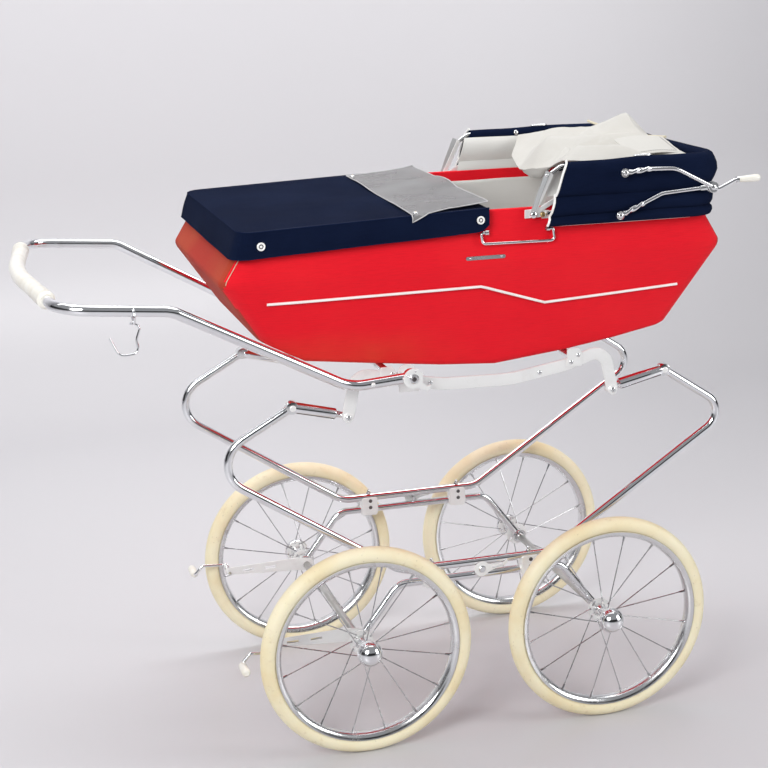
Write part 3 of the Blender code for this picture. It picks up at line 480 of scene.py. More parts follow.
# ---------------------------------------------------------------- geometry trees
class NodeRecipe:
    """A Geometry Nodes tree with named inputs, run on a mesh and turned into a plain mesh."""

    def __init__(self, name: str, inputs: dict[str, tuple[str, Any]]) -> None:
        """Start the tree.

        Args:
            name: the tree's name.
            inputs: socket type and default by input name, after the geometry.
        """
        self.group = bpy.data.node_groups.new(name, "GeometryNodeTree")
        sockets = self.group.interface
        sockets.new_socket("Geometry", in_out="INPUT", socket_type="NodeSocketGeometry")
        self.keys: dict[str, str] = {}
        for label, (kind, default) in inputs.items():
            made = sockets.new_socket(label, in_out="INPUT", socket_type=kind)
            if default is not None:
                made.default_value = default
            self.keys[label] = made.identifier
        sockets.new_socket("Geometry", in_out="OUTPUT", socket_type="NodeSocketGeometry")
        self.start = self.group.nodes.new("NodeGroupInput")
        self.end = self.group.nodes.new("NodeGroupOutput")

    def given(self, label: str) -> bpy.types.NodeSocket:
        """Socket of a named input."""
        return self.start.outputs[label]

    def node(self, kind: str, settings: dict[str, Any] | None = None,
             sockets: dict[str | int, Any] | None = None) -> bpy.types.Node:
        """Add one node.

        Args:
            kind: Blender's node type.
            settings: attributes set first.
            sockets: values, or output sockets to link, by input name or index.

        Returns:
            The node.
        """
        made = self.group.nodes.new(kind)
        for key, value in (settings or {}).items():
            setattr(made, key, value)
        for key, value in (sockets or {}).items():
            if isinstance(value, bpy.types.NodeSocket):
                self.group.links.new(value, made.inputs[key])
            else:
                made.inputs[key].default_value = value
        return made

    def close(self, geometry: bpy.types.NodeSocket) -> None:
        """End in Realize Instances and Set Material.

        Args:
            geometry: what the tree ends with.
        """
        real = self.node("GeometryNodeRealizeInstances", None, {0: geometry})
        dressed = self.node("GeometryNodeSetMaterial", None,
                            {"Geometry": real.outputs[0], "Material": self.given("Material")})
        self.group.links.new(dressed.outputs[0], self.end.inputs[0])

    def run(self, name: str, source: bpy.types.Mesh, **values: Any) -> bpy.types.Object:
        """Apply the tree.

        Args:
            name: name of the piece that is made.
            source: mesh that the tree reads.
            **values: inputs by name, with _ for a space.

        Returns:
            A plain mesh object.
        """
        holder = bpy.data.objects.new("making", source)
        bpy.context.scene.collection.objects.link(holder)
        change = holder.modifiers.new("recipe", "NODES")
        change.node_group = self.group
        for label, value in values.items():
            change[self.keys[label.replace("_", " ")]] = value
        made = flattened(holder, name)
        bpy.data.objects.remove(holder, do_unlink=True)
        return made


def flattened(source: bpy.types.Object, name: str) -> bpy.types.Object:
    """Plain mesh object from another object's evaluated shape.

    Args:
        source: object that is read.
        name: name of what is made.

    Returns:
        The new plain object.
    """
    bpy.context.view_layer.update()
    graph = bpy.context.evaluated_depsgraph_get()
    mesh = bpy.data.meshes.new_from_object(source.evaluated_get(graph), depsgraph=graph)
    mesh.name = name
    made = bpy.data.objects.new(name, mesh)
    bpy.context.scene.collection.objects.link(made)
    return made


def rod_recipe() -> NodeRecipe:
    """Round bar along a line of points.

    Returns:
        The tree.
    """
    tree = NodeRecipe("round_bar", {
        "Radius": ("NodeSocketFloat", 0.005), "Sides": ("NodeSocketInt", 20),
        "Material": ("NodeSocketMaterial", None)})
    line = tree.node("GeometryNodeMeshToCurve", None, {0: tree.given("Geometry")})
    ring = tree.node("GeometryNodeCurvePrimitiveCircle", None,
                     {"Resolution": tree.given("Sides"), "Radius": tree.given("Radius")})
    bar = tree.node("GeometryNodeCurveToMesh", None,
                    {0: line.outputs[0], 1: ring.outputs[0], "Fill Caps": True})
    tree.close(bar.outputs[0])
    return tree


def stud_recipe() -> NodeRecipe:
    """Copies of one shape on points, each turned by the point's turn attribute.

    Returns:
        The tree.
    """
    tree = NodeRecipe("set_out_shapes", {
        "Shape": ("NodeSocketObject", None), "Material": ("NodeSocketMaterial", None)})
    turn = tree.node("GeometryNodeInputNamedAttribute", {"data_type": "FLOAT_VECTOR"}, {"Name": "turn"})
    size = tree.node("GeometryNodeInputNamedAttribute", {"data_type": "FLOAT"}, {"Name": "size"})
    shape = tree.node("GeometryNodeObjectInfo", {"transform_space": "ORIGINAL"},
                      {"Object": tree.given("Shape")})
    put = tree.node("GeometryNodeInstanceOnPoints", None, {
        "Points": tree.given("Geometry"), "Instance": shape.outputs["Geometry"],
        "Rotation": turn.outputs[0], "Scale": size.outputs[0]})
    tree.close(put.outputs[0])
    return tree


def stitch_recipe() -> NodeRecipe:
    """Short raised stitches spaced along a line of points.

    Returns:
        The tree.
    """
    tree = NodeRecipe("stitches", {
        "Pitch": ("NodeSocketFloat", 0.004), "Thread": ("NodeSocketFloat", 0.0004),
        "Material": ("NodeSocketMaterial", None)})
    line = tree.node("GeometryNodeMeshToCurve", None, {0: tree.given("Geometry")})
    even = tree.node("GeometryNodeResampleCurve", {"mode": "LENGTH"},
                     {"Curve": line.outputs[0], "Length": tree.given("Pitch")})
    run = tree.node("GeometryNodeInputTangent")
    turn = tree.node("FunctionNodeAlignRotationToVector", {"axis": "Z"}, {"Vector": run.outputs[0]})
    long = tree.node("ShaderNodeMath", {"operation": "MULTIPLY"}, {0: tree.given("Pitch"), 1: 0.62})
    stitch = tree.node("GeometryNodeMeshCylinder", None, {
        "Vertices": 6, "Radius": tree.given("Thread"), "Depth": long.outputs[0]})
    put = tree.node("GeometryNodeInstanceOnPoints", None, {
        "Points": even.outputs[0], "Instance": stitch.outputs[0], "Rotation": turn.outputs[0]})
    tree.close(put.outputs[0])
    return tree


class Bench:
    """The recipes made so far."""

    recipes: dict[str, NodeRecipe] = {}

    @classmethod
    def recipe(cls, name: str) -> NodeRecipe:
        """A recipe by name, made once.

        Args:
            name: name of what is made.

        Returns:
            The tree of that name.
        """
        makers = {"rod": rod_recipe, "stud": stud_recipe, "stitch": stitch_recipe}
        if name not in cls.recipes:
            cls.recipes[name] = makers[name]()
        return cls.recipes[name]


# ---------------------------------------------------------------- shapes
def rounded(corners: Sequence[tuple[Vector, float]], steps: int = 8) -> list[Vector]:
    """Points of a path whose corners (point, radius) are replaced by arcs.

    Args:
        corners: points with the radius of their arcs.
        steps: steps of each arc.

    Returns:
        The points of the path.
    """
    points = [corners[0][0].copy()]
    for (before, _), (corner, radius), (after, _) in zip(corners, corners[1:], corners[2:]):
        into, out = (before - corner).normalized(), (after - corner).normalized()
        half = into.angle(out) / 2
        if half > math.radians(89.9):
            points.append(corner.copy())
            continue
        reach = radius / math.tan(half)
        centre = corner + (into + out).normalized() * (radius / math.sin(half))
        start, end = corner + into * reach - centre, corner + out * reach - centre
        sweep = start.angle(end)
        for i in range(steps + 1):
            part = i / steps
            near = math.sin((1 - part) * sweep) / math.sin(sweep)
            far = math.sin(part * sweep) / math.sin(sweep)
            points.append(centre + start * near + end * far)
    points.append(corners[-1][0].copy())
    return points


def bent(side: Side | float, y: float, corners: Iterable[tuple[float, float, float]],
         steps: int = 8) -> list[Vector]:
    """Path in an upright plane at y on one side, from corners of (x, z, radius)."""
    return rounded([(place(side, x, y, z), radius) for x, z, radius in corners], steps)


def line_mesh(points: Path, closed: bool = False) -> bpy.types.Mesh:
    """Mesh of edges only along points.

    Args:
        points: points in order.
        closed: join the last point to the first.

    Returns:
        The mesh.
    """
    mesh = bpy.data.meshes.new("line")
    edges = [(i, i + 1) for i in range(len(points) - 1)]
    if closed:
        edges.append((len(points) - 1, 0))
    mesh.from_pydata([tuple(p) for p in points], edges, [])
    return mesh


def smooth(piece: bpy.types.Object, angle: float = 38.0) -> bpy.types.Object:
    """Shade smooth except at creases sharper than angle.

    Args:
        piece: piece that is changed.
        angle: crease angle in degrees.

    Returns:
        The same piece.
    """
    piece.data.shade_smooth()
    piece.data.set_sharp_from_angle(angle=math.radians(angle))
    return piece


def rod(name: str, points: Path, radius: float, finish: Finish, sides: int = 20, closed: bool = False
        ) -> bpy.types.Object:
    """Round bar along points."""
    made = Bench.recipe("rod").run(name, line_mesh(points, closed), Radius=radius, Sides=sides,
                                   Material=finish.material())
    return smooth(made)


def stitches(name: str, points: Path, finish: Finish, pitch: float = 0.004, thread: float = 0.0004
             ) -> bpy.types.Object:
    """Line of stitches along points."""
    return Bench.recipe("stitch").run(name, line_mesh(points), Pitch=pitch, Thread=thread,
                                      Material=finish.material())


@dataclass(frozen=True)
class Spot:
    """Where one repeated shape goes: its foot, the way it points, its spin and its size."""

    point: Vector
    way: Vector
    spin: float = 0.0
    size: float = 1.0

    def turn(self) -> tuple[float, float, float]:
        """Euler angles that point the shape's Z axis along way."""
        aim = self.way.to_track_quat("Z", "Y").to_matrix() @ Matrix.Rotation(self.spin, 3, "Z")
        return tuple(aim.to_euler())


def set_out(name: str, shape: bpy.types.Object, spots: Sequence[Spot], finish: Finish) -> bpy.types.Object:
    """Copies of a shape at every spot, as one piece; the shape itself is used up.

    Args:
        name: name of what is made.
        shape: the shape that is worked on.
        spots: where the copies go.
        finish: the surface.

    Returns:
        One piece.
    """
    mesh = bpy.data.meshes.new("spots")
    mesh.from_pydata([tuple(s.point) for s in spots], [], [])
    mesh.attributes.new("turn", "FLOAT_VECTOR", "POINT")
    mesh.attributes.new("size", "FLOAT", "POINT")
    mesh.attributes["turn"].data.foreach_set("vector", [value for spot in spots for value in spot.turn()])
    mesh.attributes["size"].data.foreach_set("value", [spot.size for spot in spots])
    made = Bench.recipe("stud").run(name, mesh, Shape=shape, Material=finish.material())
    bpy.data.objects.remove(shape, do_unlink=True)
    return smooth(made)


def from_bmesh(name: str, shape: bmesh.types.BMesh, finish: Finish, closed: bool = True) -> bpy.types.Object:
    """Named piece from a bmesh, faces outward when it is closed.

    Args:
        name: name of what is made.
        shape: the shape that is worked on.
        finish: the surface.
        closed: whether it is a closed body.

    Returns:
        The piece.
    """
    if closed:
        bmesh.ops.remove_doubles(shape, verts=shape.verts, dist=1e-6)
        bmesh.ops.recalc_face_normals(shape, faces=shape.faces)
    mesh = bpy.data.meshes.new(name)
    shape.to_mesh(mesh)
    shape.free()
    made = bpy.data.objects.new(name, mesh)
    bpy.context.scene.collection.objects.link(made)
    mesh.materials.append(finish.material())
    return smooth(made)


def turned(name: str, profile: Sequence[tuple[float, float]], base: Vector, axis: Vector, finish: Finish,
           segments: int = 32, hollow: bool = False) -> bpy.types.Object:
    """Turn a profile about an axis.

    Args:
        name: the piece's name.
        profile: (along, radius) pairs from base; a radius of 0 closes an end.
        base: point on the axis.
        axis: direction of along.
        finish: the surface.
        segments: steps round.
        hollow: join the profile's ends, for a ring.

    Returns:
        The closed piece.
    """
    shape = bmesh.new()
    aim = axis.normalized().to_track_quat("Z", "Y").to_matrix()
    rings = []
    for along, radius in profile:
        if radius == 0:
            rings.append([shape.verts.new(base + aim @ Vector((0, 0, along)))] * segments)
            continue
        turns = [2 * math.pi * i / segments for i in range(segments)]
        rings.append([shape.verts.new(base + aim @ Vector((radius * math.cos(a), radius * math.sin(a),
                                                           along)))
                      for a in turns])
    pairs = list(zip(rings, rings[1:]))
    if hollow:
        pairs.append((rings[-1], rings[0]))
    for low, high in pairs:
        for i in range(segments):
            j = (i + 1) % segments
            corners = list(dict.fromkeys((low[i], low[j], high[j], high[i])))
            if len(corners) > 2:
                shape.faces.new(corners)
    if not hollow:
        for ring in (rings[0], rings[-1]):
            if ring[0] is not ring[1]:
                shape.faces.new(ring)
    return from_bmesh(name, shape, finish)


def plate(name: str, outline: Sequence[tuple[float, float]], side: Side, low: float, high: float,
          finish: Finish,
          edge: float = 0.0006) -> bpy.types.Object:
    """Flat plate from an (x, z) outline, between two distances from the middle plane, with eased edges.

    Args:
        name: name of what is made.
        outline: (x, z) corners in order.
        side: side of the carriage.
        low: nearer distance from the middle.
        high: further distance from the middle.
        finish: the surface.
        edge: width of the eased edges.

    Returns:
        The closed plate.
    """
    shape = bmesh.new()
    near = [shape.verts.new(place(side, x, low, z)) for x, z in outline]
    far = [shape.verts.new(place(side, x, high, z)) for x, z in outline]
    shape.faces.new(near)
    shape.faces.new(far)
    for i in range(len(near)):
        j = (i + 1) % len(near)
        shape.faces.new((near[i], near[j], far[j], far[i]))
    bmesh.ops.recalc_face_normals(shape, faces=shape.faces)
    sharp = [e for e in shape.edges if e.is_manifold and e.calc_face_angle() > math.radians(50)]
    bmesh.ops.bevel(shape, geom=sharp, offset=edge, segments=2, affect="EDGES", clamp_overlap=True)
    return from_bmesh(name, shape, finish)


def cut(target: bpy.types.Object, tools: Sequence[bpy.types.Object]) -> bpy.types.Object:
    """Take the tools out of the target and remove them."""
    for tool in tools:
        change = target.modifiers.new("cut", "BOOLEAN")
        change.operation, change.object, change.solver = "DIFFERENCE", tool, "EXACT"
        made = flattened(target, "cut")
        name = target.name
        material = target.data.materials[0]
        bpy.data.objects.remove(target, do_unlink=True)
        bpy.data.objects.remove(tool, do_unlink=True)
        target = made
        target.name = name
        target.data.name = name
        target.data.materials.clear()
        target.data.materials.append(material)
    return smooth(target)


def arc(centre: tuple[float, float], radius: float, start: float, end: float, steps: int = 16
        ) -> list[tuple[float, float]]:
    """Points (x, z) of an arc in degrees; a full turn leaves out the repeated last point.

    Args:
        centre: (x, z) of the middle.
        radius: radius in metres.
        start: first angle in degrees.
        end: last angle in degrees.
        steps: number of steps.

    Returns:
        (x, z) points.
    """
    count = steps if abs(end - start) >= 360 else steps + 1
    turns = [math.radians(start + (end - start) * i / steps) for i in range(count)]
    return [(centre[0] + radius * math.cos(a), centre[1] + radius * math.sin(a)) for a in turns]


def strap(points: Sequence[tuple[float, float]], width: float | Callable[[float], float]
          ) -> list[tuple[float, float]]:
    """Outline of a strip along (x, z) points; width may depend on the share of the way along.

    Args:
        points: points in order.
        width: width, or a function of the share along.

    Returns:
        (x, z) outline.
    """
    left, right = [], []
    last = len(points) - 1
    for i, (x, z) in enumerate(points):
        x0, z0 = points[max(i - 1, 0)]
        x1, z1 = points[min(i + 1, last)]
        long = math.hypot(x1 - x0, z1 - z0)
        half = (width(i / last) if callable(width) else width) / 2
        nx, nz = -(z1 - z0) / long * half, (x1 - x0) / long * half
        left.append((x + nx, z + nz))
        right.append((x - nx, z - nz))
    return left + right[::-1]


def flat_route(corners: Sequence[tuple[float, float, float]], steps: int = 8) -> list[tuple[float, float]]:
    """Rounded (x, z) points from corners of (x, z, radius)."""
    path = rounded([(Vector((x, 0, z)), r) for x, z, r in corners], steps)
    return [(p.x, p.z) for p in path]


def grid(name: str, rows: Sequence[Sequence[Vector]], finish: Finish, round_rows: bool = False,
         join_rows: bool = False, thick: float = 0.0, caps: bool = False) -> bpy.types.Object:
    """Cloth-like surface through rows of points, with a UV map in metres.

    Args:
        name: the piece's name.
        rows: lists of points, all of one length.
        finish: the surface.
        round_rows: close each row on itself.
        join_rows: join the last row to the first.
        thick: wall thickness added inward with Solidify; 0 leaves the surface as it is.
        caps: fill the first and last rows.

    Returns:
        The piece.
    """
    shape = bmesh.new()
    sheet = shape.loops.layers.uv.new("cloth")
    verts = [[shape.verts.new(p) for p in row] for row in rows]
    run = [0.0]
    middle = rows[len(rows) // 2]
    for a, b in zip(middle, [*middle[1:], middle[0]]):
        run.append(run[-1] + (b - a).length)
    column = [row[len(row) // 3] for row in rows]
    fall = [0.0]
    for a, b in zip(column, [*column[1:], column[0]]):
        fall.append(fall[-1] + (b - a).length)
    wide, tall = len(rows[0]), len(rows)
    for j in range(tall if join_rows else tall - 1):
        for i in range(wide if round_rows else wide - 1):
            spots = ((i, j), (i + 1, j), (i + 1, j + 1), (i, j + 1))
            face = shape.faces.new([verts[b % tall][a % wide] for a, b in spots])
            for loop, (a, b) in zip(face.loops, spots):
                loop[sheet].uv = (run[a], fall[b])
    if caps:
        for row in (verts[0], verts[-1]):
            face = shape.faces.new(row)
            for loop in face.loops:
                loop[sheet].uv = (loop.vert.co.x, loop.vert.co.y)
    closed = (round_rows or join_rows) and (caps or (round_rows and join_rows))
    made = from_bmesh(name, shape, finish, closed)
    if thick:
        wall = made.modifiers.new("wall", "SOLIDIFY")
        wall.thickness, wall.offset, wall.use_even_offset = thick, -1.0, True
        solid_piece = flattened(made, name)
        bpy.data.objects.remove(made, do_unlink=True)
        solid_piece.name = name
        made = smooth(solid_piece, 50)
    return made


def ride(body: str, slot: str, *pieces: bpy.types.Object) -> None:
    """Put pieces on a body."""
    for piece in pieces:
        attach(piece, body)


def dome(radius: float, height: float, segments: int = 14) -> bpy.types.Object:
    """Rivet head that stands on the origin and points along Z.

    Args:
        radius: radius in metres.
        height: height in metres.
        segments: steps round.

    Returns:
        The shape.
    """
    profile = [(-0.0004, radius)]
    profile += [(height * math.sin(math.pi / 2 * i / 4),
                 radius * math.cos(math.pi / 2 * i / 4)) for i in range(4)]
    profile.append((height, 0))
    return turned("shape", profile, Vector(), UP, CHROME, segments)


def screw_head(radius: float, height: float) -> bpy.types.Object:
    """Pan head with a cross recess.

    Args:
        radius: radius in metres.
        height: height in metres.

    Returns:
        The shape.
    """
    profile = [(-0.0004, radius), (height * 0.55, radius), (height * 0.9, radius * 0.8),
               (height, radius * 0.5),
               (height, 0)]
    head = turned("shape", profile, Vector(), UP, CHROME, 18)
    tools = []
    for turn in (0, 90):
        bar = bmesh.new()
        bmesh.ops.create_cube(bar, size=1)
        for vert in bar.verts:
            vert.co = Vector((vert.co.x * radius * 1.1, vert.co.y * radius * 0.26,
                              vert.co.z * height * 0.9 + height))
        bmesh.ops.rotate(bar, verts=bar.verts, cent=(0, 0, 0),
                         matrix=Matrix.Rotation(math.radians(turn), 3, "Z"))
        tools.append(from_bmesh("bar", bar, CHROME))
    return cut(head, tools)


def hex_nut(across: float, height: float, bore: float) -> bpy.types.Object:
    """Hexagonal nut with a chamfered top and a bore.

    Args:
        across: size across the flats.
        height: height in metres.
        bore: radius of the hole.

    Returns:
        The shape.
    """
    radius = across / math.sqrt(3)
    shape = bmesh.new()
    rings = []
    for z, r in ((0, radius), (height * 0.85, radius), (height, radius * 0.9), (height, bore), (0, bore)):
        rings.append([shape.verts.new((r * math.cos(math.pi / 3 * i), r * math.sin(math.pi / 3 * i), z))
                      for i in range(6)])
    for low, high in zip(rings, rings[1:] + rings[:1]):
        for i in range(6):
            j = (i + 1) % 6
            shape.faces.new((low[i], low[j], high[j], high[i]))
    return from_bmesh("shape", shape, CHROME)


# ---------------------------------------------------------------- wheels
@dataclass
class Wheel:
    """One laced wheel: rubber tyre, plated rim, spokes with nipples, drilled hub and ball cap."""

    end: str
    side: Side
    radius: float = 0.1775
    half_base: float = 0.2111
    track: float = 0.233
    tyre: float = 0.0138
    spokes: int = 16
    flange: float = 0.0200
    inner: float = -0.0370
    outer: float = 0.0120
    cap: float = 0.0212

    def __post_init__(self) -> None:
        """Work out the wheel's centre and names."""
        x = self.half_base if self.end == "front" else -self.half_base
        self.centre = place(self.side, x, self.track, self.radius)
        self.out = Vector((0, self.side.value, 0))
        self.which = f"{self.end}_{self.side.label}"
        self.body = f"wheel_{self.which}_set"
        self.bed = self.radius - 2 * self.tyre

    def build(self) -> None:
        """Make every piece of the wheel."""
        self.build_tyre()
        self.build_rim()
        self.build_hub()
        self.build_spokes()
        self.build_cap()
        LOG.info("wheel %s laced with %d spokes", self.which, self.spokes)

    def build_tyre(self) -> None:
        """Round rubber section with a moulded ring on each wall and a flat at the rim."""
        ring = self.radius - self.tyre
        profile = []
        for i in range(28):
            angle = 2 * math.pi * (i + 0.5) / 28
            swell = self.tyre * (1.0 - 0.020 * (abs(abs(math.degrees(angle) - 180) - 72) < 7))
            high = ring + swell * math.cos(angle)
            profile.append((swell * 0.97 * math.sin(angle), max(high, self.bed + 0.0004)))
        made = turned(f"rubber_tyre_{self.which}", profile, self.centre, self.out, CREAM, 96, hollow=True)
        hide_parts(f"tyre_{self.which}")
        ride(self.body, "tyre", made)

    def build_rim(self) -> None:
        """Plated rim with rolled lips and a dished bed."""
        bed, lip = self.bed - 0.0002, 0.0126
        profile = [(-lip, bed + 0.0045), (-lip + 0.0012, bed + 0.0052), (-lip + 0.0024, bed + 0.0040),
                   (-0.0080, bed - 0.0004), (0.0080, bed - 0.0004), (lip - 0.0024, bed + 0.0040),
                   (lip - 0.0012, bed + 0.0052), (lip, bed + 0.0045), (lip - 0.0006, bed + 0.0018),
                   (lip - 0.0030, bed - 0.0030), (0.0060, bed - 0.0052), (0.0, bed - 0.0062),
                   (-0.0060, bed - 0.0052), (-lip + 0.0030, bed - 0.0030), (-lip + 0.0006, bed + 0.0018)]
        rim = turned(f"rolled_rim_{self.which}", profile, self.centre, self.out, CHROME_WORN, 96, hollow=True)
        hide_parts(f"wheel_{self.which}")
        ride(self.body, "chrome", rim)

    def build_hub(self) -> None:
        """Barrel between two flange discs with five round holes each."""
        start = self.centre + self.out * self.inner
        long = self.outer - self.inner
        thick, barrel, bore = 0.0024, 0.0098, 0.0053
        profile = [(0, bore), (0, barrel + 0.002), (thick, barrel + 0.002), (thick + 0.003, barrel),
                   (long / 2, barrel - 0.0012), (long - thick - 0.003, barrel),
                   (long - thick, barrel + 0.002),
                   (long, barrel + 0.002), (long, bore)]
        core = turned(f"hub_barrel_{self.which}", profile, start, self.out, CHROME_WORN, 28, hollow=True)
        ride(self.body, "chrome", core)
        for name, foot in (("inner", start), ("outer", start + self.out * (long - thick))):
            disc = turned("disc", [(0, barrel), (0, self.flange), (thick, self.flange), (thick, barrel)],
                          foot, self.out, ALLOY, 40, hollow=True)
            tools = []
            for i in range(5):
                turn = 2 * math.pi * (i + 0.3) / 5
                spot = foot + Vector((math.sin(turn), 0, math.cos(turn))) * 0.0147 - self.out * 0.002
                tools.append(turned("drill", [(0, 0.0029), (0.008, 0.0029)], spot, self.out, ALLOY, 14))
            disc = cut(disc, tools)
            disc.name = f"hub_flange_{name}_{self.which}"
            ride(self.body, "alloy", disc)

    def spoke_shape(self, foot_out: float, lean: float) -> bpy.types.Object:
        """One spoke with its bent head and nipple, standing on the wheel's centre and reaching up Z.

        Args:
            foot_out: how far out the foot stands.
            lean: angle of the foot about the axle.

        Returns:
            The shape.
        """
        foot = Vector((math.sin(lean) * 0.0178, foot_out, math.cos(lean) * 0.0178))
        tip = Vector((0, 0, self.bed - 0.0040))
        run = (tip - foot).normalized()
        collar = tip - run * 0.0105
        shape = bmesh.new()
        for a, b, r0, r1, sides in ((foot, collar + run * 0.002, 0.0010, 0.0010, 8),
                                    (collar, tip, 0.0017, 0.0022, 8)):
            made = bmesh.ops.create_cone(shape, cap_ends=True, segments=sides, radius1=r0, radius2=r1,
                                         depth=(b - a).length)
            aim = run.to_track_quat("Z", "Y").to_matrix().to_4x4()
            bmesh.ops.transform(shape, verts=made["verts"], matrix=Matrix.Translation((a + b) / 2) @ aim)
        head = bmesh.ops.create_uvsphere(shape, u_segments=8, v_segments=5, radius=0.0019)
        bmesh.ops.transform(shape, verts=head["verts"], matrix=Matrix.Translation(foot))
        return from_bmesh("shape", shape, SPOKE)

    def build_spokes(self) -> None:
        """Spokes from the two flanges in turn, leaning alternately, as repeated shapes."""
        count = self.spokes // 2
        sign = self.side.value
        for name, out, half in (("inner", self.inner + 0.0012, 0.5), ("outer", self.outer - 0.0012, 0.0)):
            spots = []
            for i in range(count):
                turn = 2 * math.pi * (i + half + 0.25) / count
                spots.append(Spot(self.centre, Vector((math.sin(turn), 0, math.cos(turn)))))
            lean = 0.42 if half else -0.42
            shape = self.spoke_shape(0.0, lean)
            for vert in shape.data.vertices:
                share = max(0.0, min(1.0, vert.co.z / (self.bed - 0.004)))
                vert.co.y += out * (1 - share)
            made = self.laced(f"spokes_{name}_{self.which}", shape, spots, sign)
            ride(self.body, "chrome", made)

    def laced(self, name: str, shape: bpy.types.Object, spots: Sequence[Spot],
              sign: float) -> bpy.types.Object:
        """Turn the spoke about the axle to each spot's angle.

        Args:
            name: name of what is made.
            shape: the shape that is worked on.
            spots: where the copies go.
            sign: side as the sign of Y.

        Returns:
            All the spokes as one piece.
        """
        mesh = bpy.data.meshes.new("spots")
        mesh.from_pydata([tuple(s.point) for s in spots], [], [])
        mesh.attributes.new("turn", "FLOAT_VECTOR", "POINT")
        mesh.attributes.new("size", "FLOAT", "POINT")
        turns = [value for spot in spots for value in (0.0, math.atan2(spot.way.x, spot.way.z), 0.0)]
        mesh.attributes["turn"].data.foreach_set("vector", turns)
        mesh.attributes["size"].data.foreach_set("value", [1.0] * len(spots))
        if sign < 0:
            shape.data.transform(Matrix.Diagonal((1, -1, 1, 1)))
            shape.data.flip_normals()
        made = Bench.recipe("stud").run(name, mesh, Shape=shape, Material=SPOKE.material())
        bpy.data.objects.remove(shape, do_unlink=True)
        return smooth(made)

    def build_cap(self) -> None:
        """Bright ball cap on a stepped collar."""
        start = self.outer + 0.0003
        profile = [(start, 0.0150), (start, self.cap * 0.93), (start + 0.0014, self.cap * 0.97),
                   (start + 0.0020, self.cap * 0.90), (start + 0.0030, self.cap * 0.90)]
        for i in range(12):
            angle = math.pi / 2 * i / 11
            profile.append((start + 0.0034 + 0.0205 * math.sin(angle),
                            self.cap * math.cos(angle) if i < 11 else 0))
        made = turned(f"ball_cap_{self.which}", profile, self.centre, self.out, CHROME, 48)
        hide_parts(f"hub_cap_{self.which}")
        ride(self.body, "chrome", made)


# ---------------------------------------------------------------- chassis
@dataclass
class CrossBars:
    """Axles from hub to hub and the two tubes under the cot."""

    track: float = 0.233
    frame_y: float = 0.187
    wheel_z: float = 0.1775
    half_base: float = 0.2111
    cross_x: float = 0.158
    reach: float = 0.1977

    def build(self) -> None:
        """Make both axles with their nuts, and both cross tubes."""
        for name, x in (("front", self.half_base), ("rear", -self.half_base)):
            self.build_axle(name, x)
        for name, x, z in (("front", self.cross_x, 0.6262), ("rear", -self.cross_x, 0.6300)):
            ends = [place(1, x, -self.reach, z), place(1, x, self.reach, z)]
            tube = rod(f"under_tube_{name}", ends, 0.0065, CHROME_WORN, 24)
            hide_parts(f"cross_tube_{name}")
            ride("chassis", "chrome", tube)
        LOG.info("axles and cross tubes made")

    def build_axle(self, name: str, x: float) -> None:
        """Satin bar with turned-down ends and a nut inside each frame.

        Args:
            name: name of what is made.
            x: place along the carriage.
        """
        tip, shoulder = self.track + 0.0118, self.frame_y - 0.0073
        profile = [(-tip, 0.0042), (-tip + 0.0012, 0.0050), (-shoulder, 0.0050), (-shoulder, 0.0055),
                   (-shoulder + 0.0008, 0.0060), (shoulder - 0.0008, 0.0060), (shoulder, 0.0055),
                   (shoulder, 0.0050), (tip - 0.0012, 0.0050), (tip, 0.0042)]
        bar = turned(f"turned_axle_{name}", profile, place(1, x, 0, self.wheel_z), Vector((0, 1, 0)), SATIN,
                     28)
        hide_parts(f"axle_{name}")
        spots = []
        for side in Side:
            foot = place(side, x, shoulder - 0.0075, self.wheel_z)
            spots.append(Spot(foot, Vector((0, side.value, 0)), 0.4))
        nuts = set_out(f"axle_nuts_{name}", hex_nut(0.0170, 0.0060, 0.0058), spots, CHROME_WORN)
        ride("chassis", "satin_steel", bar)
        ride("chassis", "chrome", nuts)


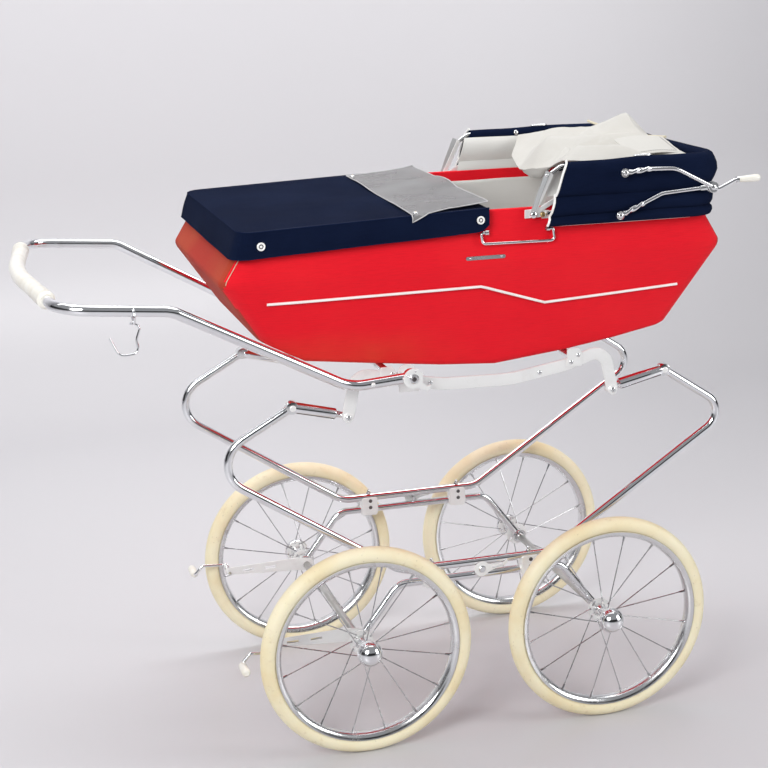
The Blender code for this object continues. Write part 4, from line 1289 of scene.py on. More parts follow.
@dataclass
class SideFrame:
    """One side of the chassis: spring tube, axle tube, clamps, fold latch, links and carrier."""

    side: Side
    y: float = 0.187
    spring: float = 0.0070
    lower: float = 0.0065
    spring_z: float = 0.289
    lower_z: float = 0.266
    clamp_x: float = 0.0855
    wheel: tuple[float, float] = (0.2111, 0.1775)
    knuckle_rear: tuple[float, float] = (-0.3125, 0.5845)
    knuckle_front: tuple[float, float] = (0.3245, 0.5885)
    link_rear: tuple[float, float] = (-0.2250, 0.5630)
    link_front: tuple[float, float] = (0.2269, 0.5662)
    carrier_y: float = 0.200
    carrier_deep: float = 0.020

    def build(self) -> None:
        """Make every piece of the side."""
        self.out = Vector((0, self.side.value, 0))
        self.build_tubes()
        for name, end in (("front", 1), ("rear", -1)):
            self.build_clamp(name, end)
        self.build_latch()
        self.build_link("rear", self.knuckle_rear, self.link_rear)
        self.build_link("front", self.knuckle_front, self.link_front)
        self.build_carrier()
        LOG.info("side frame %s made", self.side.label)

    def named(self, name: str) -> str:
        """Name with the side's label."""
        return f"{name}_{self.side.label}"

    def build_tubes(self) -> None:
        """Long S-shaped spring tube above the axle tube with its round eyes."""
        corners = [(*self.knuckle_rear, 0), (-0.4613, 0.5013, 0.047), (-0.1370, self.spring_z, 0.060),
                   (0.1222, self.spring_z, 0.050), (0.4501, 0.5059, 0.033), (*self.knuckle_front, 0)]
        tube = rod(self.named("bent_spring_tube"), bent(self.side, self.y, corners, 12), self.spring, CHROME,
                   28)
        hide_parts(self.named("spring_tube"))
        x, z = self.wheel
        corners = [(-x, z, 0), (-0.1430, self.lower_z, 0.030), (0.1430, self.lower_z, 0.030), (x, z, 0)]
        points = bent(self.side, self.y, corners, 12)
        points[0] += (points[1] - points[0]).normalized() * 0.009
        points[-1] += (points[-2] - points[-1]).normalized() * 0.009
        lower = rod(self.named("bent_axle_tube"), points, self.lower, CHROME, 28)
        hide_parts(self.named("axle_tube"))
        ride("chassis", "chrome", tube, lower)
        for name, end in (("front", 1), ("rear", -1)):
            middle = place(self.side, end * x, self.y - 0.0070, z)
            profile = [(0, 0.0054), (0, 0.0118), (0.0010, 0.0126), (0.0130, 0.0126), (0.0140, 0.0118),
                       (0.0140, 0.0054)]
            eye = turned(f"axle_eye_{name}_{self.side.label}", profile, middle, self.out, CHROME_WORN, 32,
                         True)
            ride("chassis", "chrome", eye)

    def build_clamp(self, name: str, end: int) -> None:
        """Pressed plate clamp round both tubes, with two dark screws, a stud and its nut.

        Args:
            name: name of what is made.
            end: 1 at the front, -1 at the rear.
        """
        x, half = end * self.clamp_x, 0.0148
        low, high = self.lower_z - 0.0103, self.spring_z + 0.0015
        waist = (self.lower_z + self.spring_z) / 2
        ease = 0.0030
        outline = [(x - half, low + ease), (x - half + ease, low), (x + half - ease, low),
                   (x + half, low + ease),
                   (x + half, high - ease), (x + half - ease, high), (x - half + ease, high),
                   (x - half, high - ease)]
        which = f"{name}_{self.side.label}"
        core = plate(f"clamp_block_{which}", outline, self.side, self.y - 0.0090, self.y + 0.0090, ALLOY,
                     0.0012)
        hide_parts(f"frame_clamp_{which}")
        ends = [place(self.side, x + way * (half + 0.0012), self.y, self.lower_z) for way in (-1, 1)]
        sleeve = rod(f"clamp_sleeve_{round(self.lower_z * 1000)}_{which}", ends, self.lower + 0.0018, ALLOY,
                     26)
        spots = [Spot(place(self.side, x + 0.001, self.y + way * 0.0090, waist + dz), self.out * way, 0.5)
                 for dz in (-0.0062, 0.0062) for way in (1, -1)]
        screws = set_out(f"clamp_screws_{which}", screw_head(0.0033, 0.0016), spots, DARK_STEEL)
        top = place(self.side, x, self.y, self.spring_z + self.spring - 0.0006)
        nut = set_out(f"clamp_nut_{which}", hex_nut(0.0075, 0.0030, 0.0024), [Spot(top, UP)], CHROME_WORN)
        stud = turned(f"clamp_stud_{which}", [(0, 0.0024), (0.0074, 0.0024), (0.0082, 0.0018)], top, UP,
                      CHROME_WORN, 16)
        ride("chassis", "alloy", core, sleeve)
        ride("chassis", "satin_steel", screws)
        ride("chassis", "chrome", nut, stud)

    def build_latch(self) -> None:
        """Round latch plate with a hooked tail, open in the middle of the hook, and its pin."""
        middle = (0.0, 0.2775)
        face = self.y + self.spring + 0.0008
        tail = [(0.0230, middle[1] - 0.0020), (0.0330, middle[1] - 0.0010), (0.0420, middle[1] + 0.0035),
                (0.0462, middle[1] + 0.0100), (0.0440, middle[1] + 0.0125), (0.0400, middle[1] + 0.0085),
                (0.0330, middle[1] + 0.0055), (0.0250, middle[1] + 0.0065)]
        outline = arc(middle, 0.0130, 32, 328, 30) + tail
        disc = plate(self.named("latch_plate"), outline, self.side, face, face + 0.0028, ALLOY)
        tool = plate("slot", strap([(0.0175, middle[1] + 0.0015), (0.0290, middle[1] + 0.0020),
                                    (0.0370, middle[1] + 0.0050)], 0.0032),
                     self.side, face - 0.004, face + 0.008, ALLOY, 0.0002)
        disc = cut(disc, [tool])
        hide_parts(self.named("frame_latch"))
        foot = place(self.side, middle[0], self.y - 0.0060, middle[1])
        peg = turned(self.named("latch_pin"),
                     [(0, 0.0030), (0.0001, 0.0040), (0.0152, 0.0040), (0.0154, 0.0062),
                                               (0.0176, 0.0062), (0.0190, 0.0048), (0.0194, 0)],
                     foot, self.out, CHROME_WORN, 24)
        ride(self.named("frame_latch"), "alloy", disc)
        ride(self.named("frame_latch"), "chrome", peg)

    def build_link(self, name: str, knuckle: tuple[float, float], eye: tuple[float, float]) -> None:
        """Round sleeve link with a seam, a screwed knuckle at the tube and a yoke at the carrier.

        Args:
            name: name of what is made.
            knuckle: (x, z) at the tube.
            eye: (x, z) at the carrier.
        """
        which = f"{name}_{self.side.label}"
        start, end = (place(self.side, p[0], self.y, p[1]) for p in (knuckle, eye))
        run = (end - start).normalized()
        long = (end - start).length
        profile = [(0.0020, 0.0060), (0.0026, 0.0086), (0.0040, 0.0092), (long - 0.0200, 0.0092),
                   (long - 0.0184, 0.0088), (long - 0.0170, 0.0062), (long - 0.0150, 0.0052), (long, 0.0046)]
        sleeve = turned(f"link_sleeve_{which}", profile, start, run, CHROME, 36)
        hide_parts(f"shackle_{which}")
        seam_start, seam_end = start + run * 0.006, end - run * 0.021
        down = self.out * 0.0066 + UP * -0.0066
        seam = rod(f"link_seam_{which}", [seam_start + down, seam_end + down], 0.0007, DARK_STEEL, 8)
        profile = [(0, 0.0070), (0.0008, 0.0098), (0.0020, 0.0102), (0.0140, 0.0102), (0.0152, 0.0098),
                   (0.0160, 0.0070)]
        knob = turned(f"link_knuckle_{which}", profile, start - self.out * 0.0080, self.out, CHROME_WORN, 32)
        ring = turned(f"link_yoke_{which}",
                      [(0, 0.0068), (0.0008, 0.0078), (0.0142, 0.0078), (0.0147, 0.0070)],
                      end - self.out * 0.0040, self.out, CHROME_WORN, 28)
        spots = [Spot(start + self.out * 0.0080, self.out, 0.3)]
        screw = set_out(f"link_screws_{which}", screw_head(0.0052, 0.0018), spots, ALLOY)
        ride("chassis", "chrome", sleeve, knob, ring)
        ride("chassis", "satin_steel", seam)
        ride("chassis", "alloy", screw)

    def build_carrier(self) -> None:
        """Curved satin flat bar with turned-down ends, upright brackets and its screws."""
        low, high = self.carrier_y - 0.002, self.carrier_y + 0.002
        corners = [(*self.link_rear, 0), (-0.2105, 0.6320, 0.022), (-0.0716, 0.6031, 0.250),
                   (0.0475, 0.6000, 0.250), (0.1430, 0.6150, 0.200), (0.2120, 0.6360, 0.024),
                   (*self.link_front, 0)]
        bar = plate(self.named("carrier_bar"), strap(flat_route(corners, 10), self.carrier_deep), self.side,
                    low, high, ALLOY, 0.0010)
        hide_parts(self.named("carrier"))
        pieces = [bar]
        spots, bolts = [], []
        for end, base in ((-1, 0.6090), (1, 0.6120)):
            x = end * 0.158
            outline = [(x - 0.0130, base + 0.002), (x - 0.0110, base), (x + 0.0110, base),
                       (x + 0.0130, base + 0.002),
                       (x + 0.0130, base + 0.0230), (x + 0.0060, base + 0.0310), (x - 0.0110, base + 0.0310),
                       (x - 0.0130, base + 0.0290)]
            pieces.append(plate(f"carrier_bracket_{'rear' if end < 0 else 'front'}_{self.side.label}",
                                outline,
                                self.side, high, high + 0.0030, ALLOY))
            spots += [Spot(place(self.side, x + dx, high + 0.0030, base + dz), self.out, 0.7 + dx * 90)
                      for dx, dz in ((-0.006, 0.008), (0.006, 0.019))]
            bolts.append(Spot(place(self.side, x, self.carrier_y - 0.0020, base + 0.016), -self.out, 0.2))
        for point in (self.link_rear, self.link_front):
            foot = place(self.side, point[0], low, point[1])
            pieces.append(turned(f"carrier_boss_{'rear' if point[0] < 0 else 'front'}_{self.side.label}",
                                 [(0, 0.0080), (0.0058, 0.0080), (0.0066, 0.0070), (0.0066, 0)], foot,
                                 self.out,
                                 ALLOY, 28))
            spots.append(Spot(place(self.side, point[0], high + 0.0024, point[1]), self.out, 1.1, 1.3))
        spots += [Spot(place(self.side, x, high, z), self.out, x * 40) for x,
                  z in ((-0.088, 0.6075), (0.098, 0.6070))]
        screws = set_out(self.named("carrier_screws"), screw_head(0.0034, 0.0018), spots, CHROME_WORN)
        nuts = set_out(self.named("carrier_nuts"), hex_nut(0.0090, 0.0030, 0.0025), bolts, CHROME_WORN)
        ride("chassis", "alloy", *pieces)
        ride("chassis", "chrome", screws, nuts)


@dataclass
class FootBrake:
    """Flat tapered arm behind the rear axle and the cranked wire pedal with its knob."""

    side: Side
    hub: tuple[float, float] = (-0.2111, 0.1775)
    pivot: tuple[float, float] = (-0.3570, 0.1830)
    knob: tuple[float, float] = (-0.4130, 0.1700)
    wire: float = 0.0028

    def build(self) -> None:
        """Make the arm, the pedal and the return spring."""
        out = Vector((0, self.side.value, 0))
        outline = arc(self.hub, 0.0140, -60, 60, 12)
        outline += [(-0.2300, 0.1930), (-0.3480, 0.1900)]
        outline += arc(self.pivot, 0.0062, 90, 270, 8) + [(-0.3480, 0.1760), (-0.2300, 0.1690)]
        arm = plate(f"tapered_arm_{self.side.label}", outline, self.side, 0.1692, 0.1718, ALLOY)
        tools = [plate("slot", strap([(x, 0.1815), (x + 0.020, 0.1818)], 0.0050), self.side, 0.16, 0.18,
                       ALLOY, 0.0002)
                 for x in (-0.330, -0.290)]
        tools.append(turned("drill", [(0, 0.0066), (0.02, 0.0066)],
                            place(self.side, self.hub[0], 0.160, self.hub[1]),
                            out, ALLOY, 24))
        arm = cut(arm, tools)
        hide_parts(f"brake_arm_{self.side.label}")
        ride("chassis", "alloy", arm)
        (x, z), (kx, kz) = self.pivot, self.knob
        path = [(Vector((x, 0.1600, z)), 0), (Vector((x, 0.2050, z)), 0.006),
                (Vector((-0.3990, 0.2050, 0.1860)), 0.007),
                (Vector((kx, 0.2050, kz)), 0.006), (Vector((kx, 0.2380, kz)), 0)]
        placed = [(place(self.side, p.x, p.y, p.z), r) for p, r in path]
        crank = rod(f"cranked_pedal_{self.side.label}", rounded(placed, 10), self.wire, CHROME, 18)
        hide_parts(f"brake_pedal_{self.side.label}")
        foot = place(self.side, kx, 0.2078, kz)
        profile = [(0, 0), (0, 0.0040), (0.0010, 0.0056), (0.0040, 0.0068), (0.0300, 0.0070),
                   (0.0330, 0.0064),
                   (0.0350, 0.0042), (0.0352, 0)]
        cap = turned(f"foot_knob_{self.side.label}", profile, foot, out, IVORY, 28)
        coil = []
        for i in range(60):
            turn = 2 * math.pi * i / 12
            coil.append(place(self.side, x + 0.0044 * math.cos(turn), 0.1735 + 0.00052 * i,
                              z + 0.0044 * math.sin(turn)))
        spring = rod(f"return_spring_{self.side.label}", coil, 0.0006, CHROME_WORN, 6)
        ride(f"brake_pedal_{self.side.label}", "chrome", crank, spring)
        ride(f"brake_pedal_{self.side.label}", "ivory", cap)
        LOG.info("foot brake %s made", self.side.label)


# ---------------------------------------------------------------- handle
@dataclass
class PushHandle:
    """U-shaped handle in one bent tube, its ribbed grip, pivots and bag hook."""

    tube: float = 0.0085
    pivot: tuple[float, float] = (-0.1275, 0.6270)
    end_y: float = 0.228
    eye_half: float = 0.0096
    grip: float = 0.0130
    grip_reach: float = 0.2150

    def corners(self, side: Side) -> list[tuple[Vector, float]]:
        """One half of the tube, from its pivot eye to the cross bar."""
        return [(place(side, self.pivot[0], self.end_y, self.pivot[1]), 0),
                (place(side, -0.2290, 0.2340, 0.6215), 0.085), (place(side, -0.5100, 0.2890, 0.7765), 0.045),
                (place(side, -0.6720, 0.2830, 0.7900), 0.055)]

    def build(self) -> None:
        """Make the tube, grip, pivots and hook."""
        middle = (place(1, -0.7080, 0, 0.7940), 0.600)
        path = rounded(self.corners(Side.RIGHT) + [middle] + self.corners(Side.LEFT)[::-1], 14)
        bar = rod("bent_handle", path, self.tube, CHROME, 30)
        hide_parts("handle_tube")
        ride("push_handle", "chrome", bar)
        for side in Side:
            self.build_pivot(side)
        self.build_grip(path)
        self.build_hook()
        LOG.info("push handle made")

    def build_pivot(self, side: Side) -> None:
        """Eye on the tube, plate on the carrier, hooked washer, pin head and the lock rivet.

        Args:
            side: side of the carriage.
        """
        x, z = self.pivot
        out = Vector((0, side.value, 0))
        foot = place(side, x, self.end_y - self.eye_half, z)
        eye = turned(f"handle_eye_{side.label}",
                     [(0, 0.0053), (0, 0.0112), (0.0010, 0.0120), (2 * self.eye_half - 0.001, 0.0120),
                      (2 * self.eye_half, 0.0112), (2 * self.eye_half, 0.0053)], foot, out, CHROME_WORN, 32,
                      True)
        ride("push_handle", "chrome", eye)
        rivet = set_out(f"handle_rivet_{side.label}", dome(0.0036, 0.0020),
                        [Spot(place(side, x - 0.066, self.end_y + self.tube + 0.0036, z - 0.0035), out)],
                        ALLOY)
        ride("push_handle", "alloy", rivet)
        low = 0.2023
        outline = [(x - 0.0130, z - 0.0300), (x + 0.0210, z - 0.0300), (x + 0.0210, z - 0.0120)]
        outline += arc((x, z), 0.0150, -10, 190, 18)
        base = plate(f"pivot_plate_{side.label}", outline, side, low, low + 0.0030, ALLOY)
        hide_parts(f"handle_pivot_{side.label}")
        face = self.end_y + self.eye_half + 0.0003
        outline = arc((x, z), 0.0165, 20, 292, 26)
        outline += [(x + 0.0120, z - 0.0180), (x + 0.0230, z - 0.0215), (x + 0.0290, z - 0.0170),
                    (x + 0.0280, z - 0.0120), (x + 0.0220, z - 0.0140), (x + 0.0150, z - 0.0080)]
        washer = plate(f"hooked_washer_{side.label}", outline, side, face, face + 0.0026, ALLOY)
        core = turned(f"pivot_pin_{side.label}",
                      [(0, 0.0050), (face - low + 0.0026, 0.0050), (face - low + 0.0026, 0.0078),
                       (face - low + 0.0040, 0.0078), (face - low + 0.0052, 0.0064),
                       (face - low + 0.0054, 0)],
                      place(side, x, low, z), out, CHROME_WORN, 30)
        screw = set_out(f"pivot_screw_{side.label}", screw_head(0.0040, 0.0016),
                        [Spot(place(side, x, face + 0.0046, z), out, 0.4)], DARK_STEEL)
        spots = [Spot(place(side, x + dx, face + 0.0026, z + dz), out, dx * 50)
                 for dx, dz in ((-0.0105, 0.0050), (0.0030, 0.0118))]
        small = set_out(f"pivot_rivets_{side.label}", dome(0.0017, 0.0009, 10), spots, CHROME_WORN)
        ride("chassis", "alloy", base, washer)
        ride("chassis", "chrome", core, small)
        ride("chassis", "satin_steel", screw)

    def build_grip(self, path: Sequence[Vector]) -> None:
        """Moulded sleeve on the cross bar with rolled ribs at each end.

        Args:
            path: centre line.
        """
        centres = []
        steps = 90
        for i in range(steps + 1):
            y = -self.grip_reach + 2 * self.grip_reach * i / steps
            for a, b in zip(path, path[1:]):
                if a.y <= y <= b.y and a.x < MID - 0.66:
                    centres.append(a + (b - a) * ((y - a.y) / (b.y - a.y)))
                    break
        rows = []
        for i, centre in enumerate(centres):
            run = (centres[min(i + 1, len(centres) - 1)] - centres[max(i - 1, 0)]).normalized()
            side_way = run.cross(UP).normalized()
            up_way = side_way.cross(run)
            edge = self.grip_reach - abs(centre.y)
            swell = 0.0
            if 0.004 < edge < 0.052:
                swell = 0.0016 * max(0.0, math.sin(2 * math.pi * (edge - 0.004) / 0.0096)) ** 0.7
            radius = self.grip + swell - (0.0028 * (1 - edge / 0.003) if edge < 0.003 else 0)
            rows.append([centre + (side_way * math.cos(a) + up_way * math.sin(a)) * radius
                         for a in (2 * math.pi * k / 28 for k in range(28))])
        sleeve = grid("ribbed_grip", rows, IVORY, round_rows=True, caps=True)
        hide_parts("handle_grip")
        ride("push_handle", "ivory", sleeve)

    def build_hook(self) -> None:
        """Bent wire hook with a ring round the handle tube."""
        x, z, y = -0.5690, 0.7640, 0.2890
        corners = [(x - 0.0035, z, 0), (x + 0.0130, z - 0.0040, 0.008), (x + 0.0050, z - 0.0260, 0.020),
                   (x + 0.0100, z - 0.0460, 0.010), (x - 0.0210, z - 0.0480, 0.014),
                   (x - 0.0330, z - 0.0200, 0)]
        wire = rod("bent_hook", bent(Side.RIGHT, y, corners, 10), 0.0018, CHROME, 14)
        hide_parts("bag_hook")
        loop = []
        for i in range(24):
            turn = 2 * math.pi * i / 24
            loop.append(place(Side.RIGHT, x + 0.003, y + 0.0114 * math.cos(turn),
                              z + 0.0105 + 0.0114 * math.sin(turn)))
        ring = rod("hook_ring", loop, 0.0016, CHROME, 12, closed=True)
        ride("bag_hook", "chrome", wire, ring)


# ---------------------------------------------------------------- cloth work
def lay_cloth(piece: bpy.types.Object) -> bpy.types.Object:
    """Give a piece a UV map in metres, each face laid out along the axis that it faces.

    Args:
        piece: piece that is changed.

    Returns:
        The same piece.
    """
    mesh = piece.data
    sheet = mesh.uv_layers.get("cloth") or mesh.uv_layers.new(name="cloth")
    for face in mesh.polygons:
        way = face.normal
        if abs(way.z) > 0.75:
            pick = (0, 1)
        else:
            pick = (1, 2) if abs(way.x) > abs(way.y) else (0, 2)
        for corner in face.loop_indices:
            spot = mesh.vertices[mesh.loops[corner].vertex_index].co
            sheet.data[corner].uv = (spot[pick[0]], spot[pick[1]])
    return piece


def ripple(point: Vector, size: float, seed: float = 0.0) -> float:
    """Smooth irregular height, about -1 to 1, with features of the given size."""
    return noise.noise(point / size + Vector((seed, seed * 1.7, seed * 2.3)))


def walled(piece: bpy.types.Object, thick: float, offset: float = -1.0) -> bpy.types.Object:
    """Give an open sheet its thickness.

    Args:
        piece: piece that is changed.
        thick: thickness in metres.
        offset: which side the wall grows to.

    Returns:
        The piece with its wall.
    """
    name = piece.name
    wall = piece.modifiers.new("wall", "SOLIDIFY")
    wall.thickness, wall.offset, wall.use_even_offset = thick, offset, False
    made = flattened(piece, name)
    bpy.data.objects.remove(piece, do_unlink=True)
    made.name = name
    return smooth(made, 60)


def inflate(piece: bpy.types.Object, finish: Finish, pressure: float = 4.0, voxel: float = 0.006,
            cap: float = 0.006) -> bpy.types.Object:
    """Swell a closed pad by cloth simulation.

    Args:
        piece: the slack shape, which is used up.
        finish: its surface.
        pressure: air pressure inside.
        voxel: size of the even mesh that is simulated.
        cap: furthest that any point may move.

    Returns:
        The swollen pad.
    """
    name = piece.name
    even = piece.modifiers.new("even", "REMESH")
    even.mode, even.voxel_size = "VOXEL", voxel
    slack = flattened(piece, name)
    bpy.data.objects.remove(piece, do_unlink=True)
    start = [vert.co.copy() for vert in slack.data.vertices]
    cloth = slack.modifiers.new("cloth", "CLOTH")
    cloth.settings.use_pressure = True
    cloth.settings.uniform_pressure_force = pressure
    cloth.settings.effector_weights.gravity = 0.0
    scene = bpy.context.scene
    for frame in range(1, 21):
        scene.frame_set(frame)
    made = flattened(slack, name)
    bpy.data.objects.remove(slack, do_unlink=True)
    scene.frame_set(1)
    for vert, was in zip(made.data.vertices, start):
        move = vert.co - was
        if move.length > cap:
            vert.co = was + move.normalized() * cap
    made.name = name
    made.data.materials.clear()
    made.data.materials.append(finish.material())
    return lay_cloth(smooth(made, 60))


def snap_ring() -> bpy.types.Object:
    """Press-stud ring with a dished middle, standing on the origin."""
    profile = [(-0.0006, 0.0060), (0.0006, 0.0066), (0.0016, 0.0062), (0.0021, 0.0052), (0.0018, 0.0042),
               (0.0009, 0.0034), (0.0008, 0)]
    return turned("shape", profile, Vector(), UP, CHROME, 26)


def snaps(name: str, spots: Sequence[Spot]) -> list[bpy.types.Object]:
    """White press-stud rings and their bright centres."""
    raised = [Spot(s.point + s.way.normalized() * 0.0009, s.way) for s in spots]
    return [set_out(f"{name}_rings", snap_ring(), spots, WHITE_TRIM),
            set_out(f"{name}_wells", dome(0.0040, 0.0006), raised, DARK_STEEL),
            set_out(f"{name}_centres", dome(0.0022, 0.0018), raised, WHITE_TRIM)]


@dataclass(frozen=True)
class Hull:
    """Boat shape of the cot, as rings by level: 0 bottom edge, 1 chine, 2 rim."""

    bottom: tuple[tuple[float, float], ...] = (
        (-0.3545, 0.6875), (-0.2875, 0.6530), (-0.1750, 0.6395), (-0.0630, 0.6270), (0.0310, 0.6206),
        (0.1580, 0.6340), (0.2380, 0.6460), (0.3390, 0.6650))
    base_half: float = 0.175
    chine: tuple[float, ...] = (0.215, -0.4235, 0.418, 0.790, 0.801)
    rim: tuple[float, ...] = (0.215, -0.3765, 0.370, 0.866, 0.880)
    corner: float = 0.030
    ease: float = 0.07

    def low(self, x: float) -> float:
        """Height of the bottom edge at x."""
        for (x0, z0), (x1, z1) in zip(self.bottom, self.bottom[1:]):
            if x <= x1:
                return z0 + (z1 - z0) * (max(x, x0) - x0) / (x1 - x0)
        return self.bottom[-1][1]

    def side(self, x: float, z: float) -> float:
        """Half width of the side below the chine.

        Args:
            x: place along the carriage.
            z: height.

        Returns:
            Half width in metres.
        """
        left, right = self.bottom[0][0], self.bottom[-1][0]
        part = min(max((x - left) / (right - left), 0), 1)
        high = self.chine[3] + (self.chine[4] - self.chine[3]) * part
        return self.base_half + (self.chine[0] - self.base_half) * (z - self.low(x)) / (high - self.low(x))

    def shares(self) -> list[float]:
        """Shares of the length where the side has points.

        Returns:
            Shares from 0 to 1.
        """
        left, right = self.bottom[0][0], self.bottom[-1][0]
        kinks = [(x - left) / (right - left) for x, _ in self.bottom[1:-1]]
        stops = [kinks[0]]
        for a, b in zip(kinks, kinks[1:]):
            stops += [a + (b - a) * i / 5 for i in range(1, 6)]
        return stops

    def sharp(self, level: float, inset: float, lift: float, flat: float | None) -> list[Vector]:
        """Whole ring at one level, before the chine is eased.

        Args:
            level: 0 bottom edge, 1 chine, 2 rim.
            inset: how far inside the surface.
            lift: height added.
            flat: one height for the whole ring, or None.

        Returns:
            The ring's points.
        """
        left, right = self.bottom[0][0], self.bottom[-1][0]
        base = (self.base_half, left, right)
        below, above = (base, self.chine[:3]) if level <= 1 else (self.chine[:3], self.rim[:3])
        part = level if level <= 1 else level - 1
        half, start, end = (a + (b - a) * part for a, b in zip(below, above))
        radius = max(self.corner - inset, 0.008)
        half, start, end = half - inset, start + inset, end - inset
        quarter = [math.radians(90 * i / 8) for i in range(9)]
        plan = [(start, -(half - radius) * i / 6) for i in range(6)]
        plan += [(start + radius - radius * math.cos(a),
                  -half + radius - radius * math.sin(a)) for a in quarter]
        plan += [(start + (end - start) * share, -half) for share in self.shares()]
        plan += [(end - radius + radius * math.sin(a),
                  -half + radius - radius * math.cos(a)) for a in quarter]
        plan += [(end, -(half - radius) * i / 6) for i in range(5, -1, -1)]
        points = []
        for x, y in plan:
            share = (x - start) / (end - start)
            at_base = self.low(left + (right - left) * share)
            at_chine = self.chine[3] + (self.chine[4] - self.chine[3]) * share
            at_rim = self.rim[3] + (self.rim[4] - self.rim[3]) * min(1.0, share * 2)
            foot, head = (at_base, at_chine) if level <= 1 else (at_chine, at_rim)
            points.append(place(1, x, y, foot + (head - foot) * part + lift if flat is None else flat))
        return points + [Vector((p.x, -p.y, p.z)) for p in points[-2:0:-1]]

    def ring(self, level: float, inset: float = 0.0, lift: float = 0.0,
             flat: float | None = None) -> list[Vector]:
        """Whole ring with the chine eased.

        Args:
            level: 0 bottom edge, 1 chine, 2 rim.
            inset: how far inside the surface.
            lift: height added.
            flat: one height for the whole ring, or None.

        Returns:
            The ring's points.
        """
        if abs(level - 1) > 2 * self.ease:
            return self.sharp(level, inset, lift, flat)
        rings = [self.sharp(level + self.ease * d, inset, lift, flat) for d in (-1, -0.5, 0, 0.5, 1)]
        return [sum(group, Vector()) / len(group) for group in zip(*rings)]


def skin(name: str, rings: Sequence[Sequence[Vector]], finish: Finish,
         joined: bool = False) -> bpy.types.Object:
    """Closed piece through rings that are mirrored about Y, capped or joined end to end.

    Args:
        name: name of what is made.
        rings: rings of points, in order.
        finish: the surface.
        joined: join the last ring to the first.

    Returns:
        The closed piece.
    """
    shape = bmesh.new()
    rows = [[shape.verts.new(p) for p in ring] for ring in rings]
    count = len(rows[0])
    for low, high in list(zip(rows, rows[1:])) + ([(rows[-1], rows[0])] if joined else []):
        for i in range(count):
            j = (i + 1) % count
            shape.faces.new((low[i], low[j], high[j], high[i]))
    for row in [] if joined else [rows[0], rows[-1]]:
        for i in range(count // 2):
            corners = (row[i], row[i + 1], row[(count - i - 1) % count], row[(count - i) % count])
            shape.faces.new(list(dict.fromkeys(corners)))
    return lay_cloth(from_bmesh(name, shape, finish))


